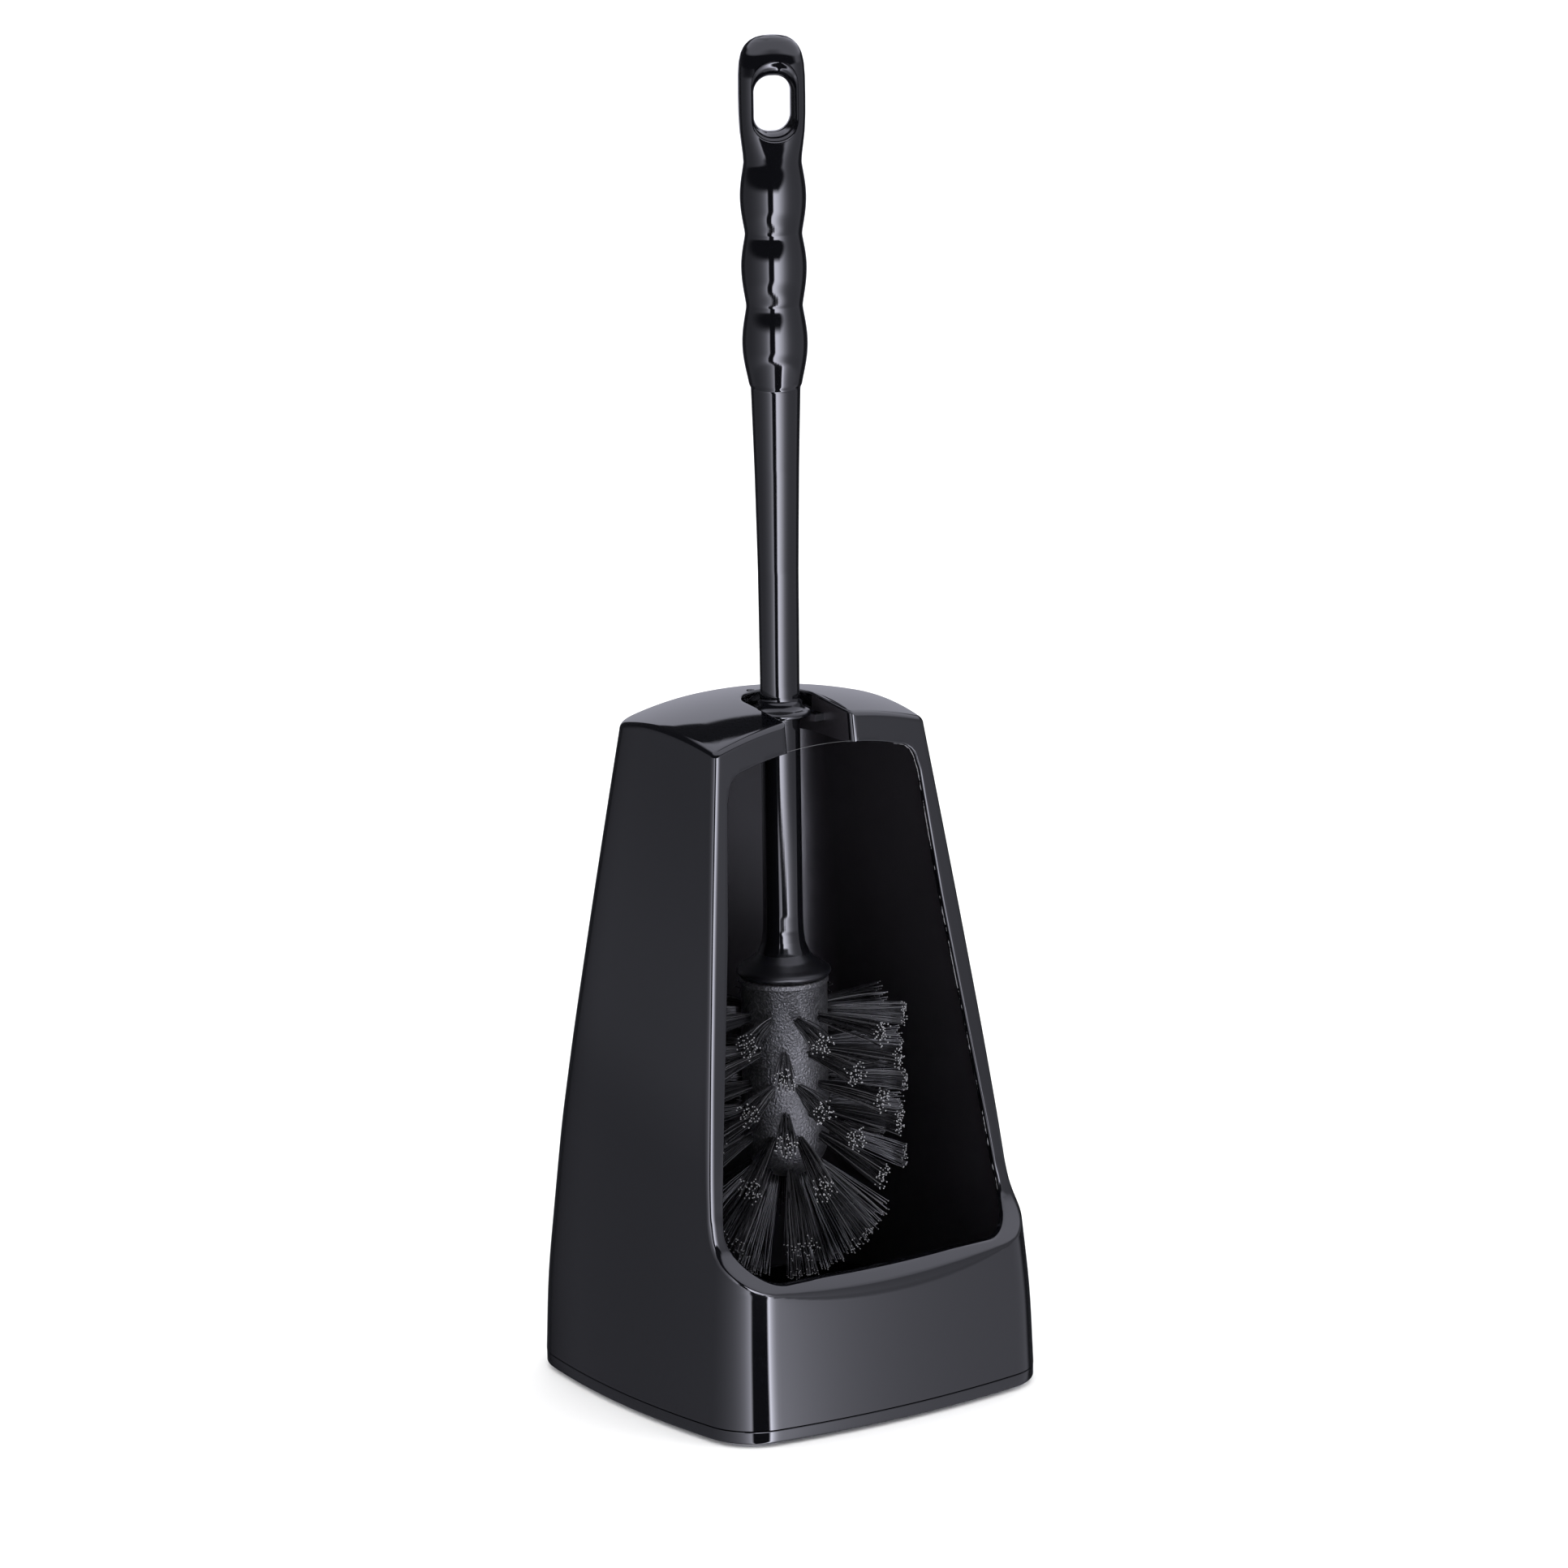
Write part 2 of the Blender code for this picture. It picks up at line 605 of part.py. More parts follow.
def joined(name, objects):
    """Separate closed meshes as one mesh, for a single cut."""
    bm = bmesh.new()
    bpy.context.view_layer.update()
    for obj in objects:
        obj.data.transform(obj.matrix_world)
        bm.from_mesh(obj.data)
        bpy.data.objects.remove(obj, do_unlink=True)
    mesh = bpy.data.meshes.new(name)
    bm.to_mesh(mesh)
    bm.free()
    obj = bpy.data.objects.new(name, mesh)
    bpy.context.scene.collection.objects.link(obj)
    helper(obj)
    return obj


def build_tufts():
    tufts = []
    for name, at, way in tuft_list():
        tufts.append(solid_tuft(name, at, way, TUFT_ROOT_R, TUFT_TIP_R, -TUFT_DEPTH, reach(at, way)))
    for name, root, dip, count, turn, hub_r, low, high in CROWNS:
        crown = lathe(name, ((hub_r, low), (hub_r, high)), 24)
        tip = 3.4 if count > 5 else 3.0
        for k, (at, way) in enumerate(crown_rows(root, dip, count, turn)):
            start = crown_start(at, low, high, way)
            part = solid_tuft(f"{name}_part_{k}", at, way, TUFT_ROOT_R, tip, start, reach(at, way), True)
            boolean(crown, part, "UNION")
        tufts.append(crown)
    for tuft in tufts:
        paint(tuft, BRISTLE_BLACK)
    return tufts


def main():
    clear_scene()
    build_tray()
    build_feet()
    lift = pivot("housing_lift", SHELL_BASE)
    adopt(lift, build_housing())
    draw = pivot("handle_draw", LEDGE_TOP, lift)
    adopt(draw, build_handle())
    screw = pivot("head_screw", CORE_TOP, draw)
    for piece in [build_brush_head()] + build_tufts():
        adopt(screw, piece)


main()
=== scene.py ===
"""Toilet brush in its holder: gloss black shell on a drip tray, turned handle, bristle brush."""

import random
from math import asin, atan2, cos, exp, hypot, pi, radians, sin, sqrt

import bpy
import bmesh
import numpy as np
from bpy.props import FloatProperty, FloatVectorProperty, IntProperty, PointerProperty
from mathutils import Matrix, Vector


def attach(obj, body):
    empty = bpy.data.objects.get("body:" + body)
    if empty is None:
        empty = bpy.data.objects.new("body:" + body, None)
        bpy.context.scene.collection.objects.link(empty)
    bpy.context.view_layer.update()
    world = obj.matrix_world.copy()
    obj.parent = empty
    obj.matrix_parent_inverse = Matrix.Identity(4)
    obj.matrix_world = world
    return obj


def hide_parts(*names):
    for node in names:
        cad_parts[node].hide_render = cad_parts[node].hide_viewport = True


bl_info = {
    "name": "Toilet Brush and Holder",
    "version": (1, 0, 0),
    "blender": (4, 5, 0),
    "location": "View3D > Sidebar > Brush Holder",
    "description": "Builds a bristle brush, its open-fronted holder and a studio around the packed model",
    "category": "Add Mesh",
}

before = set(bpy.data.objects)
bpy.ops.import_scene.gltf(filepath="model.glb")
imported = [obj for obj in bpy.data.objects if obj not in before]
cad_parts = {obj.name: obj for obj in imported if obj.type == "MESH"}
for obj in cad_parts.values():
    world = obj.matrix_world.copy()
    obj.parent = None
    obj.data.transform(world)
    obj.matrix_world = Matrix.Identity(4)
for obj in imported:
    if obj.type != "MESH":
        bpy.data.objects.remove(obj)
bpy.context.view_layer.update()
MM = 0.001

# ---- shell, in millimetres ----
CORNER_FOOT_R = 15.0  # plan size of a corner, here and at the top
CORNER_TOP_R = 9.0
BULGE = 3.6  # how far a side swells at the foot
BULGE_FADE = 0.55  # share of the swell that is gone at the top
DEPTH_LESS = 0.3  # how much less deep than wide, to each side
FRONT_EDGE_R = 2.4  # where the cut front meets the sides
INNER_EDGE_R = 0.7
TOP_EDGE_R = 2.0
FRONT_TOP_Y = -21.4  # the cut front's plane, at FRONT_TOP_Z
FRONT_TOP_Z = 212.0
FRONT_SLOPE = 0.13  # run forwards for each millimetre of drop
SWEEP_TOP = 90.0  # below it the plane sweeps out to the cup
LIP_EASE = 1.4  # softens where the sweep meets the cup
DOME_Z = 218.2  # crown of the top, and its radii across and along
DOME_Y = 3.5
DOME_RX = 131.0
DOME_RY = 112.0
ROOF_HUB = (0.0, 6.0)  # where the top's rings close
CEILING_Z = 150.0  # a face looking down above it is ceiling
TRAY_TOP = 5.3
SHELL_BASE = TRAY_TOP + 0.35
FOOT_H = 1.2
# (height, half-width) of the body at its corners
WIDTH_STATIONS = ((0, 60.1), (30, 59.0), (50, 57.3), (80, 54.7), (110, 51.3),
                  (150, 46.3), (190, 41.1), (205, 39.1), (240, 34.5))
# (height, y) down the sweep
SWEEP = ((20.0, -80.4), (42.0, -62.8), (44.0, -61.2), (45.4, -59.9), (46.6, -58.6), (48.0, -56.9),
         (50.0, -54.3), (52.2, -51.4), (54.9, -48.0), (58.0, -44.6), (62.0, -41.9), (68.0, -40.2),
         (77.0, -38.95), (100.0, -35.96))
SLOT_HALF = 11.8
SLOT_EDGE_R = 2.4
SLOT_MOUTH_TURN = 75  # of the mouth's rounding, in degrees
RUN_OUT = 40.0  # of the slot's cutter, in front
CHANNEL_WALL = 2.0
CHANNEL_BOTTOM = 205.4
CHANNEL_N = 40
LEDGE_TOP = 212.2  # the horseshoe shelf that the collar hangs on
LEDGE_T = 2.2
LEDGE_GAP_HALF = 7.6
LEDGE_TIP_Y = -6.5
WINDOW_BOTTOM = 49.4
WINDOW_TOP = 206.6
WINDOW_BACK_Y = -19.2  # reach of the window's cutter
WINDOW_FLAT = 24.0  # half of its nearly straight bottom and top
WINDOW_SHOULDER = 6.5
# (height, half-width) of the window
WINDOW_SIDES = ((64.0, 51.6), (81.0, 49.7), (118.0, 44.8), (154.0, 40.0), (195.0, 35.7))
FLASH_BARE = 24.0  # half of the window's top that has no flash
FLASH_IN = 1.25  # behind the front
FLASH_CLEAR = 9  # start, above the window's bottom
GATE_SPOT = (-1.7, 13.6)  # mark of the mould's gate on the top

# ---- brush, in millimetres ----
CORE_R = 13.5
CORE_TOP = 129.2
CORE_END_Z = 78.0
BRUSH_R = 38.0  # trimmed outline: a cylinder down to BRUSH_END_Z, then half an ellipsoid
BRUSH_END_Z = 76.0
BRUSH_END_H = 43.9
PER_RING = 10
RING_Z = (117.7, 106.7, 96.0, 87.4, 79.5)
RING_DIP = (0.0, 0.0, 0.0, 4.0, 20.0)
RING_TURN = 1.5
# (node, radius of its ring on the core's end, dip, tufts, turn)
CROWNS = (("tuft_crown_side", 9.5, 45.0, 8, 19.5), ("tuft_crown_end", 4.6, 71.0, 5, 37.5))
ROOT_R = 1.45
SIDE_TIP_R = 4.3
END_TIP_R = 6.6
# (distance back from the cut end, thickening) of a bristle's last rows
CUT_END = ((0.40, 1.0), (0.26, 1.4), (0.08, 1.4), (0.0, 0.8))
GOLDEN = pi * (3 - sqrt(5))

# ---- handle, in millimetres ----
LOOP_TURN = -25.0  # turn of the flat loop about the handle's axis, in degrees
AROUND = 96
# (radius, height) from the bell up to the grip
SHAFT_PROFILE = (
    (13.6, CORE_TOP + 0.3), (14.6, CORE_TOP + 1.0), (14.9, CORE_TOP + 1.9), (14.2, CORE_TOP + 2.7),
    (12.2, CORE_TOP + 3.8), (9.8, CORE_TOP + 5.4), (7.9, CORE_TOP + 7.8), (6.8, CORE_TOP + 10.8),
    (6.35, CORE_TOP + 14.6), (6.2, CORE_TOP + 20.0), (6.15, 185.0), (6.1, 212.4),
    (9.9, 212.6), (10.2, 213.1), (10.1, 213.9), (9.5, 214.4), (8.0, 214.9), (7.2, 215.7), (6.8, 216.8),
    (6.15, 217.4), (6.1, 222.0), (6.3, 258.0), (6.55, 272.0), (6.9, 290.0), (7.3, 304.0), (7.65, 315.4))
# (radius, height) of each waist and swell of the grip
GRIP = ((8.1, 315.9), (10.05, 329.0), (8.65, 340.4), (10.05, 352.4), (8.75, 362.6), (10.15, 374.0),
        (8.9, 384.6))
# (height, half-width, half-depth, squareness) up the loop
LOOP_STATIONS = (
    (387.0, 9.05, 8.5, 2.1), (390.0, 9.4, 8.0, 2.35), (394.0, 9.85, 7.4, 2.7), (399.0, 10.1, 7.1, 2.9),
    (405.0, 10.15, 7.0, 3.0), (411.0, 10.1, 6.9, 3.0), (415.0, 9.85, 6.7, 2.9), (418.0, 9.25, 6.2, 2.7),
    (420.2, 8.2, 5.4, 2.5), (421.8, 6.7, 4.4, 2.3), (422.8, 4.9, 3.2, 2.1), (423.3, 2.6, 1.7, 2.0),
    (423.36, 0.4, 0.3, 2.0))
# (depth, half-width, bottom, top, corner radius) of the dished hanging hole
EYE_DISH = (
    (-8.0, 7.75, 391.2, 417.1, 7.3), (-6.6, 7.5, 391.4, 416.6, 7.1), (-5.8, 7.2, 391.8, 415.7, 6.8),
    (-5.3, 6.7, 392.5, 414.2, 6.3), (-4.4, 6.35, 393.0, 412.9, 5.95), (-3.2, 6.0, 393.5, 411.9, 5.5),
    (-1.6, 5.8, 394.0, 411.2, 5.2))
SATIN = 0.36  # roughness of the bell, up to SATIN_TOP in metres
SATIN_TOP = (CORE_TOP + 9.0) * MM


# ---- settings ----
class HolderSettings(bpy.types.PropertyGroup):
    """Sizes and colour of the shell and its tray."""
    wall: FloatProperty(name="Wall", description="Thickness of the shell's wall",
                        default=0.0022, min=0.001, max=0.004, unit="LENGTH")
    rim: FloatProperty(name="Rim radius", description="Rounding of the window's and the slot's edges",
                       default=0.0007, min=0.0002, max=0.002, unit="LENGTH")
    flash: FloatProperty(name="Flash", description="Height of the ragged moulding flash inside the window",
                         default=0.00035, min=0.0, max=0.001, unit="LENGTH")
    plastic: FloatVectorProperty(name="Plastic", description="Base colour of the gloss plastic",
                                 default=(0.0017, 0.0018, 0.0026), size=3, min=0.0, max=1.0, subtype="COLOR")
    # Paler than the outer plastic: partly the inside's own satin finish, partly painted fill light for the
    # hollow, which gets too little light.
    inside: FloatVectorProperty(name="Inside", description="Base colour of the shell's satin inside",
                                default=(0.0125, 0.0113, 0.0138), size=3, min=0.0, max=1.0, subtype="COLOR")


class BrushSettings(bpy.types.PropertyGroup):
    """Sizes, numbers and colours of the brush head."""
    filaments: IntProperty(name="Filaments", description="Bristles in each tuft", default=42, min=8, max=160)
    thickness: FloatProperty(name="Bristle thickness", description="Diameter of one bristle",
                             default=0.00032, min=0.0001, max=0.001, unit="LENGTH")
    droop: FloatProperty(name="Droop", description="How far a side tuft's tips hang below a straight line",
                         default=0.0016, min=0.0, max=0.005, unit="LENGTH")
    bristle: FloatVectorProperty(name="Bristle", description="Colour of a bristle's side",
                                 default=(0.005, 0.005, 0.0062), size=3, min=0.0, max=1.0, subtype="COLOR")
    # Painted glint: the paler base colour that random filaments take, standing in for light they catch.
    painted_glint: FloatVectorProperty(name="Glint", description="Colour of the bristles that catch the light",
                               default=(0.11, 0.11, 0.12), size=3, min=0.0, max=1.0, subtype="COLOR")
    cut_end: FloatVectorProperty(name="Cut end", description="Colour of a bristle's cut end",
                                 default=(0.30, 0.30, 0.32), size=3, min=0.0, max=1.0, subtype="COLOR")


class StudioSettings(bpy.types.PropertyGroup):
    """Light and camera."""
    ambient: FloatProperty(name="Ambient", description="Strength of the even light",
                           default=1.6, min=0.0, max=5.0)
    tent_radius: FloatProperty(name="Tent radius", description="Radius of the light tent round the object",
                               default=0.62, min=0.3, max=3.0, unit="LENGTH")
    camera_turn: FloatProperty(name="Camera turn",
                               description="Camera's place round the object, from the front",
                               default=radians(-34.55), subtype="ANGLE")
    camera_rise: FloatProperty(name="Camera rise", description="Camera's height above the level",
                               default=radians(13.91), subtype="ANGLE")
    camera_distance: FloatProperty(name="Camera distance", description="Camera to the middle of the object",
                                   default=2.5, min=0.5, max=10.0, unit="LENGTH")
    lens: FloatProperty(name="Lens", description="Focal length on a 36 mm sensor, in millimetres",
                        default=185.8, min=20.0, max=400.0)


# ---- meshes ----
def fade(x, low, high):
    """0 at low, 1 at high, smooth between; low may be the larger."""
    t = min(1.0, max(0.0, (x - low) / (high - low)))
    return t * t * (3 - 2 * t)


def new_object(name, data):
    obj = bpy.data.objects.new(name, data)
    bpy.context.scene.collection.objects.link(obj)
    return obj


def make(name, verts, faces):
    mesh = bpy.data.meshes.new(name)
    mesh.from_pydata([tuple(c * MM for c in v) for v in verts], [], faces)
    mesh.update()
    return new_object(name, mesh)


def loft(name, rings, crowned=False):
    """A closed solid through rings of equal length, counter-clockwise from above and rising."""
    n = len(rings[0])
    verts = [tuple(p) for ring in rings for p in ring]
    faces = []
    for k in range(len(rings) - 1):
        for i in range(n):
            j = (i + 1) % n
            faces.append((k * n + i, k * n + j, (k + 1) * n + j, (k + 1) * n + i))
    faces.append(tuple(range(n))[::-1])
    last = (len(rings) - 1) * n
    if crowned:
        verts.append(tuple(np.mean(np.array(rings[-1]), axis=0)))
        faces += [(len(verts) - 1, last + i, last + (i + 1) % n) for i in range(n)]
    else:
        faces.append(tuple(last + i for i in range(n)))
    return make(name, verts, faces)


def level(outline, z):
    return [(x, y, z) for x, y in outline]


def lathe(name, profile, n, centre=(0.0, 0.0)):
    """A solid of revolution about a vertical axis. profile runs upwards as (radius, z)."""
    angles = [2 * pi * i / n for i in range(n)]
    x, y = centre
    return loft(name, [[(x + r * cos(a), y + r * sin(a), z) for a in angles] for r, z in profile])


def outward(obj):
    bm = bmesh.new()
    bm.from_mesh(obj.data)
    bmesh.ops.recalc_face_normals(bm, faces=bm.faces)
    bm.to_mesh(obj.data)
    bm.free()
    return obj


def boolean(target, cutter, operation):
    mod = target.modifiers.new(operation.lower(), "BOOLEAN")
    mod.operation = operation
    mod.solver = "EXACT"
    mod.object = cutter
    bpy.context.view_layer.update()
    graph = bpy.context.evaluated_depsgraph_get()
    done = bpy.data.meshes.new_from_object(target.evaluated_get(graph))
    target.modifiers.clear()
    target.data = done
    bpy.data.objects.remove(cutter, do_unlink=True)
    if not done.polygons:
        raise RuntimeError(f"{target.name} came out empty from a {operation}")


def shade(obj, sharp=38.0):
    obj.data.shade_smooth()
    obj.data.set_sharp_from_angle(angle=radians(sharp))


def mark_inside(shell, wall):
    """Puts the faces that look inwards, behind the window's rim, into the second material slot, the satin
    one whose paler colour is partly painted fill light.
    """
    for face in shell.data.polygons:
        x, y, z = (c / MM for c in face.center)
        inward = face.normal.x * x + face.normal.y * y < -0.2 * hypot(x, y)
        ceiling = face.normal.z < -0.5 and z > CEILING_Z
        if (inward or ceiling) and y > front_y(z) + wall - 0.2 and z < LEDGE_TOP:
            face.material_index = 1


def finish_piece(obj, materials, body, slot, *nodes):
    picked = [face.material_index for face in obj.data.polygons]
    obj.data.materials.clear()
    for mat in materials:
        obj.data.materials.append(mat)
    obj.data.polygons.foreach_set("material_index", [index % len(materials) for index in picked])
    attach(obj, body)
    if nodes:
        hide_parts(*nodes)


def softened(stations, step, passes):
    """A profile's joints rounded, as a fine table of x and value."""
    xs = np.arange(stations[0][0], stations[-1][0] + step, step)
    vals = np.interp(xs, [s[0] for s in stations], [s[1] for s in stations])
    for _ in range(passes):
        inner = (vals[:-2] + vals[1:-1] + vals[2:]) / 3
        vals = np.concatenate([vals[:1], inner, vals[-1:]])
    return xs, vals


def along(points, n):
    """n + 1 points evenly spaced along a polyline."""
    points = np.array(points, float)
    lengths = np.concatenate([[0], np.cumsum(np.linalg.norm(np.diff(points, axis=0), axis=1))])
    wanted = np.linspace(0, lengths[-1], n + 1)
    return np.stack([np.interp(wanted, lengths, points[:, k]) for k in range(points.shape[1])], axis=1)


def rounded_line(points, step, passes):
    """A polyline resampled finely and eased at its corners, its ends kept."""
    points = np.array(points, float)
    total = np.linalg.norm(np.diff(points[:, :2], axis=0), axis=1).sum()
    line = along(points, int(total / step))
    for _ in range(passes):
        line[1:-1] = (line[:-2] + 2 * line[1:-1] + line[2:]) / 4
    return line


# ---- the shell's surfaces ----
WIDTH_Z, WIDTH_V = softened(WIDTH_STATIONS, 4.0, 3)
FRONT_Z, FRONT_V = softened(SWEEP, 0.5, 14)
FRONT_N, TURN_N, SIDE_N, ARC_N, BACK_N = 72, 20, 22, 14, 36
CORNER_SAMPLES = 60
EDGE_SAMPLES = 30


def half_width(z):
    return float(np.interp(z, WIDTH_Z, WIDTH_V))


def bulge(z):
    return BULGE * (1.0 - BULGE_FADE * z / DOME_Z)


def front_y(z):
    """Y of the cut front at this height. Below the sweep it lies in front of the cup."""
    if z >= SWEEP_TOP:
        return FRONT_TOP_Y - FRONT_SLOPE * (FRONT_TOP_Z - z)
    return float(np.interp(z, FRONT_Z, FRONT_V))


def dome(x, y):
    return DOME_Z - x * x / (2 * DOME_RX) - (y - DOME_Y) ** 2 / (2 * DOME_RY)


def corner(z, half, swell, inset):
    """A corner's size, the radius and tilt of the arc that meets both swelling sides."""
    size = CORNER_FOOT_R + (CORNER_TOP_R - CORNER_FOOT_R) * z / DOME_Z - inset
    tilt = atan2(2 * swell, half - size)
    return size, size / (cos(tilt) - sin(tilt)), tilt


def section(z, inset, edge_r):
    """Outline of the body at height z, moved inwards by inset. Counter-clockwise from the front left."""
    w = half_width(z) - inset
    h = w - DEPTH_LESS
    s = bulge(z)
    size, r, tilt = corner(z, w, s, inset)
    flat, deep = w - size, h - size
    cx, cy = flat - r * sin(tilt), r * cos(tilt) - h
    cut = front_y(z) + inset
    side_from = -deep

    def swell(t, half):
        return s * max(0.0, 1 - (t / half) ** 2)

    def side_at(y):
        return w + swell(y, deep)

    def arc_round(x, y, radius, start, end, n):
        """Points of an arc, its angles counted from the front towards the right."""
        return [(x + radius * sin(a), y - radius * cos(a)) for a in np.linspace(start, end, n)]

    def mirror(run):
        return [(-x, y) for x, y in reversed(list(run))]

    below = cy - cut - edge_r
    if cut <= -h:
        front_x = flat
        turn = arc_round(cx, cy, r, tilt, pi / 2 - tilt, CORNER_SAMPLES)
    elif below > (r - edge_r) * sin(tilt):
        front_x = cx + sqrt((r - edge_r) ** 2 - below ** 2)
        meet = pi / 2 - asin(min(1.0, below / (r - edge_r)))
        turn = arc_round(front_x, cut + edge_r, edge_r, 0, meet, EDGE_SAMPLES)
        turn += arc_round(cx, cy, r, meet, pi / 2 - tilt, EDGE_SAMPLES)[1:]
    else:
        side_from = cut + edge_r
        front_x = side_at(side_from) - edge_r
        turn = arc_round(front_x, cut + edge_r, edge_r, 0, pi / 2, EDGE_SAMPLES)
    turn = along(turn, TURN_N)
    front = []
    for x in np.linspace(-front_x, front_x, FRONT_N + 1):
        plain = -h - swell(x, flat) if abs(x) <= flat else -h
        ease = LIP_EASE * max(0.0, 1 - (x / flat) ** 4)
        y = (plain + cut + sqrt((plain - cut) ** 2 + ease ** 2)) / 2
        front.append((x, y))
    side = [(side_at(y), y) for y in np.linspace(side_from, deep, SIDE_N + 1)]
    arc = [(cx + r * cos(a), r * sin(a) - cy) for a in np.linspace(tilt, pi / 2 - tilt, ARC_N + 1)]
    back = [(x, h + swell(x, flat)) for x in np.linspace(flat, -flat, BACK_N + 1)]
    loop = []
    for run in (front, turn, side, arc, back, mirror(arc), mirror(side), mirror(turn)):
        loop.extend(tuple(p) for p in list(run)[:-1])
    return np.array(loop)


def body(name, stations, inset, edge_r, top_r):
    """The tapering body with its cut front and its crowned top, moved inwards by inset."""
    rings = [level(section(z, inset, edge_r), z) for z in stations]
    low_z, high_z = stations[-1], DOME_Z
    low, high = section(low_z, inset, edge_r), section(high_z, inset, edge_r)

    def roof(p):
        return dome(p[0], p[1]) - inset

    edge = low.copy()
    for _ in range(6):
        zs = np.array([roof(p) for p in edge]) - top_r
        share = ((zs - low_z) / (high_z - low_z))[:, None]
        edge = low + (high - low) * share
    tangent = np.roll(edge, -1, axis=0) - np.roll(edge, 1, axis=0)
    inward = np.stack([-tangent[:, 1], tangent[:, 0]], axis=1)
    inward /= np.linalg.norm(inward, axis=1)[:, None]
    for share in np.linspace(0.25, 0.75, 3):
        rings.append([tuple(low[i] + (edge[i] - low[i]) * share) + (low_z + (zs[i] - low_z) * share,)
                      for i in range(len(low))])
    for deg in (range(0, 91, 10) if top_r else (90,)):
        a = radians(deg)
        moved = edge + inward * top_r * (1 - cos(a))
        rings.append([(p[0], p[1], roof(p) - top_r * (1 - sin(a))) for p in moved])
    rim = edge + inward * top_r
    hub = np.array(ROOF_HUB)
    for share in np.linspace(1.0, 0.04, 22)[1:]:
        moved = hub + (rim - hub) * share
        rings.append([(p[0], p[1], roof(p)) for p in moved])
    return loft(name, rings, crowned=True)


def heights(low, high, step, fine_low, fine_high, fine_step):
    """Stations from low to high, closer together between the fine bounds."""
    runs = [np.arange(low, fine_low, step), np.arange(fine_low, fine_high, fine_step),
            np.arange(fine_high, high, step)]
    return [float(z) for z in np.concatenate(runs)] + [high]


def channel_outline(half, front, flare=0.0):
    """A U in plan round the brush axis, open to the front, its mouth flared by the edge radius."""
    points = []
    if flare:
        points.append((-half - flare, front - RUN_OUT))
        points.append((-half - flare, front))
        for a in np.linspace(SLOT_MOUTH_TURN, 0, 12):
            points.append((-half - flare * (1 - cos(radians(a))), front + flare - flare * sin(radians(a))))
    else:
        points.append((-half, front))
    for a in np.linspace(180, 0, CHANNEL_N + 1):
        points.append((half * cos(radians(a)), half * sin(radians(a))))
    left = len(points) - CHANNEL_N - 1
    points += [(-x, y) for x, y in reversed(points[:left])]
    return points[::-1]


def shelf_outline():
    """The horseshoe that the collar hangs on, its outer edge inside the channel wall."""
    outer, inner, tip = SLOT_HALF + 0.8, LEDGE_GAP_HALF, LEDGE_TIP_Y
    across, back = 1.2, 1.6
    rim = [(outer * cos(radians(a)), outer * sin(radians(a))) for a in range(0, 181, 6)]
    gap = [(inner * cos(radians(a)), inner * sin(radians(a))) for a in range(180, -1, -6)]
    left_tip = [(-outer, tip), (-inner - across, tip), (-inner, tip + back)]
    return [(inner + across, tip), (outer, tip)] + rim + left_tip + gap + [(inner, tip + back)]


def window_outline():
    """The window seen from the front, counter-clockwise and evenly spaced."""
    right = []
    foot_z, foot_x = WINDOW_SIDES[0]
    run, rise = 14.0, foot_z - WINDOW_BOTTOM
    sag = 0.35
    for x in np.linspace(0, WINDOW_FLAT, 9):
        right.append((x, WINDOW_BOTTOM - sag + sag * (x / WINDOW_FLAT) ** 2))
    for a in np.linspace(-90, 0, 24)[1:]:
        right.append((foot_x - run + run * cos(radians(a)), foot_z + rise * sin(radians(a))))
    side_z, side_x = softened(WINDOW_SIDES, 2.0, 4)
    right += [(x, z) for x, z in zip(side_x[3:-1], side_z[3:-1])]
    shoulder = WINDOW_SHOULDER
    top_z, top_x = WINDOW_SIDES[-1]
    for a in np.linspace(5, 84, 16):
        x = top_x - 0.7 - shoulder + shoulder * cos(radians(a))
        right.append((x, top_z + 1.4 + shoulder * sin(radians(a))))
    for x in np.linspace(WINDOW_FLAT, 2, 10):
        right.append((x, WINDOW_TOP - 0.0042 * x * x))
    left = [(-x, z) for x, z in reversed(right) if x > 0]
    loop = right + [(0.0, WINDOW_TOP)] + left
    return along(loop + loop[:1], 300)[:-1]


def moved_out(outline, distance):
    """A closed plane outline moved outwards, for a counter-clockwise one."""
    tangent = np.roll(outline, -1, axis=0) - np.roll(outline, 1, axis=0)
    normal = np.stack([tangent[:, 1], -tangent[:, 0]], axis=1)
    normal /= np.linalg.norm(normal, axis=1)[:, None]
    return outline + normal * distance


def rounding(radius):
    """(offset, depth) pairs down a rounded rim, starting just outside the surface."""
    start, steps = 74.0, 6
    pairs = []
    for a in np.linspace(start, 0, steps):
        pairs.append((radius * (1 - cos(radians(a))), radius * (1 - sin(radians(a)))))
    steep = (pairs[0][0] + 1.2 * radius, pairs[0][1] - 0.35 * radius)
    return [steep] + pairs


def cut_window(shell, rim):
    """Cuts the window with a rounded outer rim that follows the front."""
    outline = window_outline()
    rings = []
    profile = rounding(rim)
    for offset, depth in [(profile[0][0] + 0.5, -30.0)] + profile:
        rings.append([(x, front_y(z) + depth, z) for x, z in moved_out(outline, offset)])
    rings.append([(x, WINDOW_BACK_Y, z) for x, z in outline])
    boolean(shell, outward(loft("window", rings)), "DIFFERENCE")


def cut_slot(shell, rim):
    """Cuts the slot for the shaft, its mouth following the front and its top rim rounded."""
    rings = []
    for z in (198.0, 203.0):
        rings.append(level(channel_outline(SLOT_HALF, front_y(z), SLOT_EDGE_R), z))
    plan = np.array(channel_outline(SLOT_HALF, front_y(214.0), SLOT_EDGE_R))
    profile = rounding(rim)
    for offset, depth in reversed(profile):
        rings.append([(x, y, dome(x, max(y, FRONT_TOP_Y - 3)) - depth) for x, y in moved_out(plan, offset)])
    rings.append(level(moved_out(plan, profile[0][0] + 0.1), 240.0))
    boolean(shell, outward(loft("slot", rings)), "DIFFERENCE")


